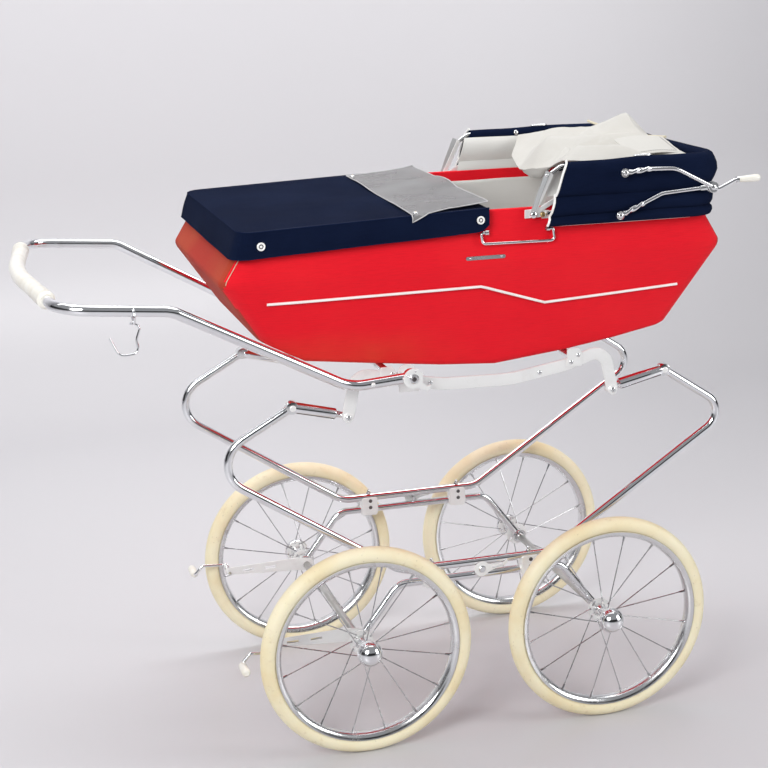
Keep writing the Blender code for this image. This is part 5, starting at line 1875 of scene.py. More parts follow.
# ---------------------------------------------------------------- carrycot
@dataclass
class Carrycot:
    """Cloth-covered boat-shaped cot: shell, lining, mattress, mouldings, piping, badge and bails."""

    hull: Hull = field(default_factory=Hull)
    wall: float = 0.008
    moulding: float = 0.0022
    bail_y: float = 0.2200
    bail_z: float = 0.8460
    bail_wire: float = 0.0024

    def build(self) -> None:
        """Make every piece of the cot."""
        self.build_shell()
        self.build_lining()
        self.build_mattress()
        for side in Side:
            self.build_trim(side)
            self.build_bail(side)
        LOG.info("carrycot made")

    def build_shell(self) -> None:
        """Outer panels with an eased chine and a rolled rim; the end panels wear a darker copy of the red
        cloth as painted shade.
        """
        wall = self.wall
        stops = [0.03, 0.06] + [0.12 * i for i in range(1, 8)] + [0.90 + 0.02 * i for i in range(11)]
        stops += [1.2 + 0.1 * i for i in range(8)] + [1.96]
        rings = [self.hull.ring(0, 0.006), self.hull.ring(0, 0.0025, 0.0008)]
        for level in stops:
            puffed = []
            for p in self.hull.ring(level):
                swell = 0.0005 * ripple(p, 0.09)
                puffed.append(Vector((p.x, p.y * (1 + swell / 0.215), p.z)))
            rings.append(puffed)
        rings += [self.hull.ring(2, 0.0006, -0.0006), self.hull.ring(2, 0.0024, 0.0006),
                  self.hull.ring(2, wall - 0.0024, 0.0006), self.hull.ring(2, wall - 0.0006, -0.0006),
                  self.hull.ring(1.9, wall), self.hull.ring(1.5, wall), self.hull.ring(1.0, wall),
                  self.hull.ring(0.5, wall), self.hull.ring(0.06, wall)]
        shell = skin("covered_shell", rings, RED)
        # The end panels, picked by the way their faces point, take the darker red: painted shade.
        shell.data.materials.append(RED_SHADED_END.material())
        for face in shell.data.polygons:
            if abs(face.normal.x) > 0.72 and abs(face.center.y) < 0.205:
                face.material_index = 1
        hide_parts("cot_shell")
        ride("cot", "red_cloth", shell)

    def build_lining(self) -> None:
        """Soft white lining with a wavy top edge and shallow puffs."""
        clear, thick = self.wall + 0.0045, 0.0050
        rings = []
        levels = [0.40 + 0.07 * i for i in range(20)] + [1.76]
        for level in levels:
            rings.append(self.hull.ring(level, clear))
        rings.append(self.hull.ring(1.80, clear + 0.0015))
        rings.append(self.hull.ring(1.80, clear + thick - 0.0010))
        for level in reversed(levels):
            soft = []
            for p in self.hull.ring(level, clear + thick):
                pull = 0.0022 * ripple(p, 0.055, 3.0) + 0.0012 * ripple(p, 0.020, 5.0)
                middle = Vector((MID, 0, p.z))
                soft.append(p + (middle - p).normalized() * max(pull, -0.0008))
            rings.append(soft)
        lining = skin("quilted_lining", rings, WHITE, joined=True)
        top = max(p.z for p in rings[len(levels)])
        for vert in lining.data.vertices:
            near_top = max(0.0, 1 - (top - vert.co.z) / 0.030)
            vert.co.z += 0.0022 * ripple(vert.co, 0.050, 8.0) * near_top
        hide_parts("cot_lining")
        ride("cot", "white_cloth", lining)

    def build_mattress(self) -> None:
        """Padded mattress, swollen by simulation."""
        rings = [self.hull.ring(0, 0.020, 0.0150), self.hull.ring(0.10, 0.019, 0.0100),
                 self.hull.ring(0.26, 0.022, flat=0.6990), self.hull.ring(0.28, 0.036, flat=0.7020)]
        pad = inflate(skin("soft_mattress", rings, WHITE), WHITE, cap=0.005)
        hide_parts("mattress")
        ride("cot", "white_cloth", pad)

    def build_trim(self, side: Side) -> None:
        """Moulding strip with a step, corner piping, plain badge and its rivets.

        Args:
            side: side of the carriage.
        """
        line = [(-0.3500, 0.7560, 0), (-0.2000, 0.7572, 0.6), (-0.0050, 0.7585, 0.012),
                (0.0055, 0.7555, 0.008),
                (0.1064, 0.7225, 0.012), (0.2300, 0.7285, 0.6), (0.3400, 0.7343, 0)]
        flat = [(x, z) for x, z, _ in line]
        points = []
        for (x0, z0), (x1, z1) in zip(flat, flat[1:]):
            for i in range(10):
                x, z = x0 + (x1 - x0) * i / 10, z0 + (z1 - z0) * i / 10
                points.append(place(side, x, self.hull.side(x, z) + self.moulding + 0.0008, z))
        x, z = flat[-1]
        points.append(place(side, x, self.hull.side(x, z) + self.moulding + 0.0008, z))
        strip = rod(f"side_strip_{side.label}", points, self.moulding, WHITE_TRIM, 14)
        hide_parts(f"side_moulding_{side.label}")
        ride("cot", "ivory", strip)
        edge = []
        for i in range(16):
            ring = self.hull.ring(1.02 + 0.06 * i)
            spot = ring[5 + 5].copy()
            edge.append(Vector((spot.x - 0.0004, side.value * (abs(spot.y) + 0.0006), spot.z)))
        piping = rod(f"corner_piping_{side.label}", edge, 0.0007, BEIGE_TRIM, 8)
        ride("cot", "ivory", piping)
        middle = (0.0010, 0.8060)
        y = 0.2151
        outline = arc((middle[0] + 0.030, middle[1]), 0.0030, -90, 90, 10)
        outline += arc((middle[0] - 0.030, middle[1]), 0.0030, 90, 270, 10)
        badge = plate(f"plain_badge_{side.label}", outline, side, y, y + 0.0016, CHROME_WORN, 0.0005)
        rivets = [Spot(place(side, middle[0] + dx, y + 0.0016, middle[1]), Vector((0, side.value, 0)))
                  for dx in (-0.026, 0.026)]
        pins = set_out(f"badge_rivets_{side.label}", dome(0.0013, 0.0008, 10), rivets, CHROME)
        ride("cot", "chrome", badge, pins)

    def build_bail(self, side: Side) -> None:
        """Wire bail, and the lugs that it swings in.

        Args:
            side: side of the carriage.
        """
        y, z = self.bail_y, self.bail_z
        corners = [(-0.0020, z, 0), (-0.0085, z, 0.003), (-0.0055, 0.8285, 0.006),
                   (0.1150, 0.8265, 0.006), (0.1120, z, 0.003), (0.1055, z, 0)]
        wire = rod(f"carrying_wire_{side.label}", bent(side, y, corners, 8), self.bail_wire, CHROME, 18)
        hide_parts(f"carry_bail_{side.label}")
        ride(f"carry_bail_{side.label}", "chrome", wire)
        lugs = []
        for name, at in (("rear", 0.0010), ("front", 0.1030)):
            foot = place(side, at - 0.0028, y - 0.0002, z)
            lugs.append(turned(f"bail_lug_{name}_{side.label}",
                               [(0, 0.0026), (0, 0.0040), (0.0056, 0.0040), (0.0056, 0.0026)],
                               foot, Vector((1, 0, 0)), CHROME_WORN, 20, hollow=True))
        ride("cot", "chrome", *lugs)


# ---------------------------------------------------------------- apron
@dataclass
class Apron:
    """Fitted navy cover with a skirt on three sides, press studs, and a clear vinyl flap."""

    left: float = -0.3935
    right: float = 0.0030
    half: float = 0.2265
    corner: float = 0.026
    hem_out: tuple[float, float] = (0.0010, 0.0125)
    cloth: float = 0.0014

    def top_height(self, x: float) -> float:
        """Height of the crease between top panel and skirt."""
        return 0.871 + 0.014 * (x - self.left) / (self.right - self.left)

    def hem_height(self, x: float) -> float:
        """Height of the lower edge, lifted in a round corner at the open end."""
        rise = max(0.0, 1 - (self.right - x) / 0.016)
        return 0.831 + 0.019 * (x - self.left) / (self.right - self.left) + 0.010 * rise ** 2

    def width(self, x: float) -> float:
        """Half width of the top panel.

        Args:
            x: place along the carriage.

        Returns:
            Half width in metres.
        """
        reach = self.left + self.corner - x
        if reach <= 0:
            return self.half
        return self.half - self.corner + math.sqrt(max(0.0, self.corner ** 2 - reach ** 2))

    def build(self) -> None:
        """Make the cover, its seam, studs and flap."""
        self.build_cover()
        self.build_flap()
        LOG.info("apron made")

    def stations(self) -> list[float]:
        """Places along X, closer at the rounded corners.

        Returns:
            Places along X.
        """
        near = [self.left + self.corner * (1 - math.cos(math.pi / 2 * i / 8)) for i in range(8)]
        rest = [self.left + self.corner + (self.right - self.left - self.corner) * i / 70 for i in range(71)]
        return near + rest

    def top_point(self, x: float, share: float) -> Vector:
        """Point of the top panel, share -1 to 1 across.

        Args:
            x: place along the carriage.
            share: share across, -1 to 1.

        Returns:
            The point.
        """
        y = share * self.width(x)
        inside = min(1.0, (1 - abs(share)) * 5) * min(1.0, (x - self.left) / 0.05)
        point = Vector((x, y, 0))
        height = self.top_height(x) + inside * (0.0016 * ripple(point, 0.12, 1.0) + 0.0007 * ripple(point,
                                                                                                    0.035,
                                                                                                    2.0))
        return place(1, x, y, height)

    def build_cover(self) -> None:
        """Top panel and skirt as one sheet, with its piped seam, stitches and studs."""
        shape = bmesh.new()
        xs = self.stations()
        count = 36
        shares = [-1 + 2 * i / count for i in range(count + 1)]
        top = [[self.top_point(x, s) for s in shares] for x in xs]
        verts = [[shape.verts.new(p) for p in row] for row in top]
        for low, high in zip(verts, verts[1:]):
            for i in range(count):
                shape.faces.new((low[i], low[i + 1], high[i + 1], high[i]))
        border = [(xs[i], -1.0) for i in range(len(xs) - 1, -1, -1)]
        border += [(xs[0], s) for s in shares[1:-1]] + [(x, 1.0) for x in xs]
        edge = [self.top_point(x, s) for x, s in border]
        rows = [edge]
        steps = 9
        for k in range(1, steps + 1):
            share = k / steps
            row = []
            for (x, s), p in zip(border, edge):
                reach = self.left + self.corner - x
                turn = math.asin(min(1.0, max(0.0, reach / self.corner))) if abs(s) == 1 else math.pi / 2
                out = Vector((-math.sin(turn), math.copysign(math.cos(turn), s), 0))
                push = self.hem_out[0] + (self.hem_out[1] - self.hem_out[0]) * math.sin(turn)
                wave = 0.0010 * ripple(p, 0.060, 4.0) * share
                drop = self.hem_height(x) + 0.0010 * ripple(p, 0.080, 6.0)
                belly = 0.0013 * math.sin(math.pi * share)
                moved = p + out * (push * share + wave + belly)
                moved.z = p.z + (drop - p.z) * share
                row.append(moved)
            rows.append(row)
        skirt = [[shape.verts.new(p) for p in row] for row in rows]
        for high, low in zip(skirt, skirt[1:]):
            for i in range(len(border) - 1):
                shape.faces.new((low[i], low[i + 1], high[i + 1], high[i]))
        bmesh.ops.remove_doubles(shape, verts=shape.verts, dist=2e-5)
        bmesh.ops.recalc_face_normals(shape, faces=shape.faces)
        if sum(face.normal.z for face in shape.faces) < 0:
            bmesh.ops.reverse_faces(shape, faces=shape.faces)
        cover = lay_cloth(walled(from_bmesh("navy_cover", shape, NAVY, closed=False), self.cloth))
        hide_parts("apron")
        lift = Vector((0, 0, 0.0004))
        seam = rod("cover_seam", [p + lift for p in edge[::2]], 0.0011, NAVY, 8)
        inner = []
        for x, s in border[::2]:
            inner.append(self.top_point(x, s * 0.972) + lift if x > self.left + 0.004 else None)
        run = [p for p in inner if p is not None]
        half = len(run) // 2
        sewn = [stitches(f"cover_stitches_{i}", part, NAVY_THREAD, 0.0042, 0.00035)
                for i, part in enumerate((run[:half], run[half:]))]
        hem = rod("cover_hem", [p + Vector((0, 0, 0.0005)) for p in rows[-1][::2]], 0.0010, NAVY, 8)
        ride("apron", "navy_cloth", cover, seam, hem, *sewn)
        spots = [Spot(place(side, x, self.half + 0.0030, z), Vector((0, side.value, 0.04)))
                 for side in Side for x, z in ((-0.361, 0.8510), (-0.0120, 0.8680))]
        ride("apron", "ivory", *snaps("cover_snap", spots))

    def build_flap(self) -> None:
        """Soft clear sheet turned back over the cover, one corner curled."""
        rows = []
        for i in range(31):
            u = i / 30
            row = []
            for k in range(91):
                v = k / 90
                x = -0.1180 + 0.1240 * u + 0.016 * (v - 0.3) * (1 - u) + 0.010 * v * u
                hang = 0.0270 * max(0.0, 1 - v / 0.16) * max(0.0, 1 - u / 0.50)
                y = -0.2120 + 0.4240 * v - hang
                over = max(0.0, -y - self.half)
                y = max(y, -self.half - min(over, 0.0042))
                point = Vector((x, y, 0))
                lift = 0.0018 + 0.0020 * (0.5 + 0.5 * ripple(point, 0.05, 9.0))
                fold = max(0.0, math.sin(3.4 * math.pi * v + 2.2 * u)) * min(1.0, v / 0.15)
                lift += 0.0060 * u * u + 0.0050 * fold * (0.3 + 0.7 * u)
                row.append(place(1, x, y, self.top_height(x) + lift - max(0.0, over - 0.0015)))
            rows.append(row)
        flap = grid("vinyl_flap", rows, VINYL)
        if sum(face.normal.z for face in flap.data.polygons) < 0:
            flap.data.flip_normals()
        flap = walled(flap, 0.0007)
        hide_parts("storm_flap")
        around = rows[0] + [row[-1] for row in rows[1:]] + rows[-1][::-1][1:]
        around += [row[0] for row in rows[-2:0:-1]]
        hem = rod("flap_binding", around, 0.0009, VINYL_EDGE, 8, closed=True)
        corners = (rows[2][3], rows[2][-4])
        spots = [Spot(corner + UP * 0.0004, UP) for corner in corners]
        studs = set_out("flap_studs", dome(0.0045, 0.0022, 16), spots, CHROME_WORN)
        caps = set_out("flap_stud_pins", dome(0.0018, 0.0030, 10), spots, BRASS)
        ride("storm_flap", "clear_vinyl", flap, hem)
        ride("storm_flap", "chrome", studs, caps)


# ---------------------------------------------------------------- hood
@dataclass
class Hood:
    """Folded hood: pleated navy walls, white inner bands and crumpled lining, bows, arms and stays."""

    bow_y: float = 0.2215
    end_x: float = 0.3830
    pivot: tuple[float, float] = (0.0770, 0.8700)
    elbow: tuple[float, float] = (0.3740, 0.8990)
    low_foot: tuple[float, float] = (0.2170, 0.8627)
    high_foot: tuple[float, float] = (0.2208, 0.9307)
    stay: float = 0.0032
    low_y: float = 0.2430
    high_y: float = 0.2500
    fold_z: tuple[float, float, float] = (0.8600, 0.8970, 0.9060)

    def build(self) -> None:
        """Make every piece of the hood."""
        self.build_walls()
        self.build_lining()
        self.build_bows()
        for side in Side:
            self.build_arm(side)
            self.build_stay(side)
        LOG.info("folded hood made")

    def u_line(self, y: float, z: float, start: float) -> list[Vector]:
        """Points of a U round the hood end, y out from the middle plane, at height z.

        Args:
            y: distance from the middle plane.
            z: height.
            start: X of its front end.

        Returns:
            The points.
        """
        end = self.end_x + (y - self.bow_y) + 0.0010
        radius = 0.034 + (y - self.bow_y)
        near = [(start + (0.2200 - start) * i / 12, -y) for i in range(12)]
        near += [(0.2200 + (end - radius - 0.2200) * i / 14, -y) for i in range(14)]
        near += [(end - radius + radius * math.sin(a), -y + radius - radius * math.cos(a))
                 for a in (math.pi / 2 * i / 10 for i in range(10))]
        near += [(end, (-y + radius) * (1 - i / 10)) for i in range(11)]
        points = [place(1, x, yy, z) for x, yy in near]
        return points + [Vector((p.x, -p.y, p.z)) for p in points[-2::-1]]

    def wall(self, name: str, profile: Sequence[tuple[float, float]], finish: Finish, thick: float,
             start: float, slope: float, seed: float) -> bpy.types.Object:
        """Sheet that follows a profile of (y, z) all round the U, with uneven pleats.

        Args:
            name: the piece's name.
            profile: distances from the middle plane and heights, low to high.
            finish: its cloth.
            thick: thickness of the cloth.
            start: X of its front edge at height 0.848.
            slope: how much lower the pleats run at the front edge.
            seed: picks the wrinkles.

        Returns:
            The sheet with its thickness.
        """
        rows = []
        last = len(profile) - 1
        for k, (y, z) in enumerate(profile):
            row = []
            line = self.u_line(y, z, self.front(start, z))
            ends = min(1.0, k / 2, (last - k) / 2)
            for p in line:
                ahead = max(0.0, 1 - (p.x - MID - start) / 0.16)
                flat = Vector((p.x, p.y, 0)).normalized()
                out = Vector((0, math.copysign(1, p.y), 0)) if p.x < MID + self.end_x - 0.03 else flat
                wave = 0.0009 * ripple(p, 0.045, seed) + 0.0005 * ripple(p, 0.015, seed + 3)
                at_end = min(1.0, max(0.0, (p.x - MID - 0.340) / 0.045)) * (y > self.bow_y)
                p = p + Vector((self.bulge(z) * at_end, 0, 0))
                sag = 0.0018 * ripple(Vector((p.x, p.y, 0)), 0.11, seed + 6)
                dip = 0.0012 * math.exp(-((p.x - MID - 0.215) / 0.05) ** 2) * min(1.0,
                                                                                  max(0.0, (z - 0.92) / 0.02))
                row.append(p + out * min(wave, 0.0007) + UP * ((sag - slope * ahead) * ends - dip))
            rows.append(row)
        made = grid(name, rows, finish)
        side_face = max(made.data.polygons, key=lambda f: -f.center.y)
        if side_face.normal.y > 0:
            made.data.flip_normals()
        return walled(made, thick)

    @staticmethod
    def front(start: float, z: float) -> float:
        """X of the front edge at a height: it leans back, and rounds off at the top."""
        return start + (z - 0.848) * 0.30 + 0.25 * max(0.0, z - 0.938)

    @staticmethod
    def bulge(z: float) -> float:
        """How far the folds stand out beyond the hood end at a height."""
        return 0.0060 * math.exp(-((z - 0.926) / 0.012) ** 2) - 0.0060 * math.exp(-((z - 0.897) / 0.007) ** 2)

    def build_walls(self) -> None:
        """Navy skirt and crown in pleats, white bands inside, and the front bindings."""
        low, fold, high = self.fold_z
        skirt = [(0.2322, 0.8505), (0.2350, 0.8520), (0.2372, 0.8570), (0.2366, 0.8625), (0.2330, 0.8662),
                 (0.2318, 0.8672), (0.2345, 0.8690), (0.2374, 0.8745), (0.2378, 0.8820), (0.2366, 0.8890),
                 (0.2338, 0.8935), (0.2322, 0.8962), (0.2304, 0.8985), (0.2292, 0.9003)]
        crown = [(0.2326, 0.8966), (0.2346, 0.8985), (0.2370, 0.9040), (0.2380, 0.9120), (0.2378, 0.9220),
                 (0.2376, 0.9330), (0.2368, 0.9420), (0.2340, 0.9485), (0.2290, 0.9518), (0.2230, 0.9520),
                 (0.2180, 0.9490), (0.2160, 0.9440), (0.2158, 0.9390), (0.2160, 0.9350)]
        outer_low = self.wall("pleated_skirt", skirt, NAVY, 0.0012, 0.0960, 0.0020, 11.0)
        outer_high = self.wall("pleated_crown", crown, NAVY, 0.0012, 0.0960, 0.0030, 21.0)
        inner_low = [(0.2168, 0.8620), (0.2150, 0.8660), (0.2120, 0.8720), (0.2105, 0.8790), (0.2110, 0.8860),
                     (0.2130, 0.8920), (0.2150, 0.8960)]
        inner_high = [(0.2150, 0.8965), (0.2125, 0.9010), (0.2095, 0.9080), (0.2085, 0.9170),
                      (0.2095, 0.9260),
                      (0.2120, 0.9330), (0.2145, 0.9380)]
        band_low = self.wall("white_band_low", inner_low, WHITE, 0.0010, 0.0900, 0.0, 31.0)
        band_high = self.wall("white_band_high", inner_high, WHITE, 0.0010, 0.0880, 0.0, 41.0)
        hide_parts("hood_skirt")
        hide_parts("hood_crown")
        lower = dict(start=(MID + 0.22, 0, low), end=(MID + 0.22, 0, fold))
        upper = dict(start=(MID + 0.22, 0, high), end=(MID + 0.22, 0, 0.9430))
        for piece, slot, flat in ((outer_low, "navy_cloth", (1.00, 0.056)),
                                  (band_low, "white_cloth", (0.93, 0.040))):
            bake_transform(piece)
        for piece, slot, flat in ((outer_high, "navy_cloth", (1.00, 0.095)),
                                  (band_high, "white_cloth", (0.93, 0.048))):
            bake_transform(piece)
        for side in Side:
            for name, profile, pair, limits in (("low", skirt, ("cot", "hood_mid"), lower),
                                                ("high", crown[:9], ("hood_mid", "hood_front"), upper)):
                points = [place(side, self.front(0.0954, z), y, z) for y, z in profile[1:]]
                binding = rod(f"front_binding_{name}_{side.label}", points, 0.0019, WHITE_TRIM, 10)
                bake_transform(binding)
        self.build_fittings()

    def build_fittings(self) -> None:
        """Stud and oval eyelet on the turned-in strip, and the pale strip under the skirt."""
        spots = [Spot(place(side, 0.2150, 0.2150, 0.9430), Vector((0, -side.value, 0.2))) for side in Side]
        studs = set_out("strip_studs", dome(0.0045, 0.0018, 16), spots, CHROME_WORN)
        loops = []
        for side in Side:
            ring = []
            for i in range(28):
                turn = 2 * math.pi * i / 28
                ring.append(place(side, 0.2620 + 0.0145 * math.cos(turn), 0.2230 + 0.0045 * math.sin(turn),
                                  0.9533))
            loops.append(rod(f"oval_eyelet_{side.label}", ring, 0.0013, CHROME, 10, closed=True))
        for piece in (studs, *loops):
            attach(piece, "hood_front")
        for side in Side:
            line = [place(side, 0.1040 + 0.28 * i / 24, 0.2188 + 0.0020 * math.sin(i / 8),
                          0.8492) for i in range(22)]
            strip = rod(f"skirt_edge_{side.label}", line, 0.0014, WHITE_TRIM, 8)
            ride("cot", "ivory", strip)

    def build_lining(self) -> None:
        """Crumpled white lining in sharp folds round a peak, with a loose stitched flap, both in a greyer
        white that is painted shade.
        """
        folds = self.fold_points()
        flat = [Vector((x, y)) for x, y, _ in folds]
        _, _, faces, *_ = delaunay_2d_cdt(flat, [], [], 0, 1e-5)
        shape = bmesh.new()
        verts = [shape.verts.new(place(1, *point)) for point in folds]
        for face in faces:
            shape.faces.new([verts[i] for i in face])
        bmesh.ops.subdivide_edges(shape, edges=shape.edges, cuts=5, use_grid_fill=True)
        bmesh.ops.smooth_vert(shape, verts=[v for v in shape.verts if not v.is_boundary], factor=0.35,
                              use_axis_x=True, use_axis_y=True, use_axis_z=True)
        for vert in shape.verts:
            vert.co.z += 0.0012 * ripple(vert.co, 0.022, 12.0) + 0.0022 * abs(ripple(vert.co, 0.05, 15.0))
        bmesh.ops.recalc_face_normals(shape, faces=shape.faces)
        if sum(face.normal.z for face in shape.faces) < 0:
            bmesh.ops.reverse_faces(shape, faces=shape.faces)
        heap = lay_cloth(walled(from_bmesh("crumpled_lining", shape, SHADED_WHITE, closed=False), 0.0012))
        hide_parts("hood_lining")
        rows = []
        for i in range(13):
            u = i / 12
            rows.append([place(1, 0.262 + 0.088 * u, -0.1850 + 0.075 * v,
                               0.9475 + 0.018 * v + 0.004 * math.sin(math.pi * u) + 0.001 * ripple(
                                   Vector((u, v, 0)), 0.3, 2.0))
                         for v in (k / 12 for k in range(13))])
        panel = grid("lining_flap", rows, SHADED_WHITE)
        if sum(face.normal.z for face in panel.data.polygons) < 0:
            panel.data.flip_normals()
        panel = walled(panel, 0.0010)
        line = [rows[i][1] + UP * 0.0008 for i in range(1,
                                                        12)] + [rows[11][k] + UP * 0.0008 for k in range(2,
                                                                                                         12)]
        sewn = stitches("flap_stitches", line, GREY_THREAD, 0.0040, 0.0004)
        edge = [place(1, 0.3450 + 0.03 * i / 12, 0.1900 - 0.26 * i / 12, 0.9600 - 0.008 * math.sin(i / 4))
                for i in range(13)]
        hem = rod("beige_hem", edge, 0.0022, BEIGE, 10)
        ride("hood_mid", "white_cloth", heap, panel, sewn, hem)

    def fold_points(self) -> list[tuple[float, float, float]]:
        """Crests and hollows of the crumpled lining, from the near side to the far one.

        Returns:
            (x, y, z) of every crest and hollow.
        """
        near = [(0.132, -0.205, 0.9500), (0.190, -0.208, 0.9440), (0.250, -0.208, 0.9370),
                (0.310, -0.208, 0.9400),
                (0.355, -0.198, 0.9450)]
        front = [(0.136, -0.140, 0.9300), (0.150, -0.070, 0.9020), (0.158, 0.000, 0.8930),
                 (0.166, 0.070, 0.8970),
                 (0.178, 0.140, 0.9120)]
        inner = [(0.176, -0.165, 0.9680), (0.205, -0.130, 0.9290), (0.250, -0.168, 0.9640),
                 (0.292, -0.140, 0.9360),
                 (0.345, -0.155, 0.9560), (0.190, -0.080, 0.9540), (0.232, -0.092, 0.9300),
                 (0.262, -0.060, 0.9680),
                 (0.300, -0.095, 0.9480), (0.330, -0.055, 0.9700), (0.366, -0.090, 0.9480)]
        crest = [(0.205, -0.020, 0.9260), (0.242, 0.000, 0.9580), (0.285, -0.010, 0.9480),
                 (0.334, 0.000, 0.9965),
                 (0.374, -0.010, 0.9520)]
        far = [(0.210, 0.050, 0.9560), (0.250, 0.060, 0.9340), (0.290, 0.050, 0.9680), (0.322, 0.085, 0.9500),
               (0.364, 0.070, 0.9500), (0.212, 0.120, 0.9270), (0.262, 0.125, 0.9600), (0.312, 0.145, 0.9400),
               (0.352, 0.140, 0.9520), (0.215, 0.205, 0.9380), (0.270, 0.207, 0.9400), (0.320, 0.205, 0.9420),
               (0.355, 0.195, 0.9450)]
        return near + front + inner + crest + far

    def build_bows(self) -> None:
        """Bent bows that the cloth hangs on, with their flat feet running to the pivot."""
        for name, foot, corner, z, body, low in (
                ("rear", (0.1000, 0.8700), (0.1400, 0.8700), 0.8700, "cot", 0.2164),
                ("mid", (0.1150, 0.8905), (0.1400, 0.9000), 0.9060, "hood_mid", 0.2195),
                ("front", (0.1080, 0.9330), (0.1240, 0.9430), 0.9430, "hood_front", 0.2225)):
            half = [(place(-1, foot[0], self.bow_y, foot[1]), 0),
                    (place(-1, corner[0], self.bow_y, corner[1]), 0.012),
                    (place(-1, self.end_x, self.bow_y, z), 0.034)]
            path = rounded(half + [(Vector((p.x, -p.y, p.z)), r) for p, r in half[::-1]], 12)
            bow = rod(f"bent_bow_{name}", path, 0.0035, CHROME_WORN, 16)
            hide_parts(f"hood_bow_{name}")
            ride(body, "chrome", bow)
            for side in Side:
                strip = strap([self.pivot, foot], 0.0075)
                link = plate(f"bow_foot_{name}_{side.label}", strip, side, low, low + 0.0020, ALLOY)
                ride(body, "alloy", link)

    def build_arm(self, side: Side) -> None:
        """Flat pressed arm of the front bow, the hinge plate and its rivets.

        Args:
            side: side of the carriage.
        """
        out = Vector((0, side.value, 0))
        route = [(self.pivot[0] - 0.0030, self.pivot[1] - 0.0020), (0.0865, 0.9020), (0.1010, 0.9370)]
        outline = strap(route, 0.0080)
        arm = plate(f"pressed_arm_{side.label}", outline, side, 0.2248, 0.2266, GREY_PAINT)
        x, z = self.pivot
        outline = [(x - 0.0120, z - 0.0062), (x + 0.0360, z - 0.0050), (x + 0.0620, z - 0.0100),
                   (x + 0.0620, z - 0.0070), (x + 0.0360, z + 0.0030), (x + 0.0080, z + 0.0078),
                   (x - 0.0120, z + 0.0072)]
        hinge = plate(f"hinge_plate_{side.label}", outline, side, 0.2164, 0.2190, ALLOY)
        ride("hood_front", "alloy", arm)
        ride("cot", "alloy", hinge)
        head = [Spot(place(side, x, 0.2266, z), out, 0, 1.0)]
        knob = set_out(f"pivot_rivet_{side.label}", dome(0.0058, 0.0024, 18), head, CHROME_WORN)
        spots = [Spot(place(side, x + 0.0180, 0.2190, z - 0.0015), out)]
        small = set_out(f"hinge_rivet_{side.label}", dome(0.0045, 0.0020, 16), spots, BRASS)
        end = set_out(f"arm_rivet_{side.label}", dome(0.0030, 0.0016, 14),
                      [Spot(place(side, 0.0985, 0.2266, 0.9310), out)], CHROME_WORN)
        ride("cot", "chrome", knob, small)
        ride("hood_front", "chrome", end)

    def build_stay(self, side: Side) -> None:
        """Two jointed rods with twisted ends, ringed elbow and a knob.

        Args:
            side: side of the carriage.
        """
        out = Vector((0, side.value, 0))
        lower = bent(side, self.low_y, [(*self.low_foot, 0), (0.2887, 0.8935, 0.030), (*self.elbow, 0)], 10)
        upper = bent(side, self.high_y,
                     [(*self.high_foot, 0), (0.2600, 0.9345, 0.050), (0.3080, 0.9330, 0.050),
                                         (0.3820, 0.8950, 0.012), (0.4127, 0.9085, 0.012),
                                         (0.4240, 0.9090, 0)], 10)
        name = side.label
        for which, path, y, foot in (("lower", lower, self.low_y, self.low_foot),
                                     ("upper", upper, self.high_y, self.high_foot)):
            bar = rod(f"bent_stay_{which}_{name}", path, self.stay, CHROME, 20)
            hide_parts(f"stay_{which}_{name}")
            twist = self.twisted(f"twisted_end_{which}_{name}", path, 0.004, 0.046)
            eye = turned(f"stay_eye_{which}_{name}",
                         [(0, 0.0044), (0, 0.0060), (0.0008, 0.0068), (0.0048, 0.0068),
                                                      (0.0056, 0.0060), (0.0056, 0)],
                         place(side, foot[0], y - 0.0030, foot[1]), out, CHROME_WORN, 26)
            head = set_out(f"stay_rivet_{which}_{name}", dome(0.0048, 0.0026, 18),
                           [Spot(place(side, foot[0], y + 0.0024, foot[1]), out)], CHROME_WORN)
            disc = turned(f"elbow_disc_{which}_{name}",
                          [(0, 0.0030), (0, 0.0080), (0.0008, 0.0088), (0.0040, 0.0088), (0.0048, 0.0080),
                           (0.0048, 0.0030)],
                          place(side, self.elbow[0], y - 0.0024, self.elbow[1]), out, CHROME_WORN, 30,
                          hollow=True)
            ride(f"stay_{which}_{name}", "chrome", bar, twist, eye, head, disc)
        ferrule = rod(f"stay_ferrule_{name}", [lower[-1] + (lower[-2] - lower[-1]).normalized() * d
                                               for d in (0.008, 0.020)], 0.0046, CHROME_WORN, 18)
        ride(f"stay_lower_{name}", "chrome", ferrule)
        pin = turned(f"elbow_pin_{name}",
                     [(0, 0), (0, 0.0034), (0.0100, 0.0034), (0.0112, 0.0050), (0.0124, 0.0036), (0.0128, 0)],
                     place(side, self.elbow[0], self.low_y - 0.0022, self.elbow[1]), out, CHROME_WORN, 20)
        grip = turned(f"stay_knob_{name}",
                      [(0, 0), (0, 0.0036), (0.0006, 0.0044), (0.0120, 0.0052), (0.0280, 0.0062),
                                            (0.0345, 0.0058), (0.0372, 0.0040), (0.0380, 0)],
                      place(side, 0.4180, self.high_y, 0.9089), Vector((0.999, 0, 0.021)), IVORY, 26)
        collar = turned(f"knob_collar_{name}", [(0, 0.0030), (0, 0.0044), (0.0040, 0.0048), (0.0044, 0.0030)],
                        place(side, 0.4142, self.high_y, 0.9088), Vector((0.999, 0, 0.021)), CHROME_WORN, 22,
                        True)
        ride(f"stay_upper_{name}", "chrome", pin, collar)
        ride(f"stay_upper_{name}", "ivory", grip)

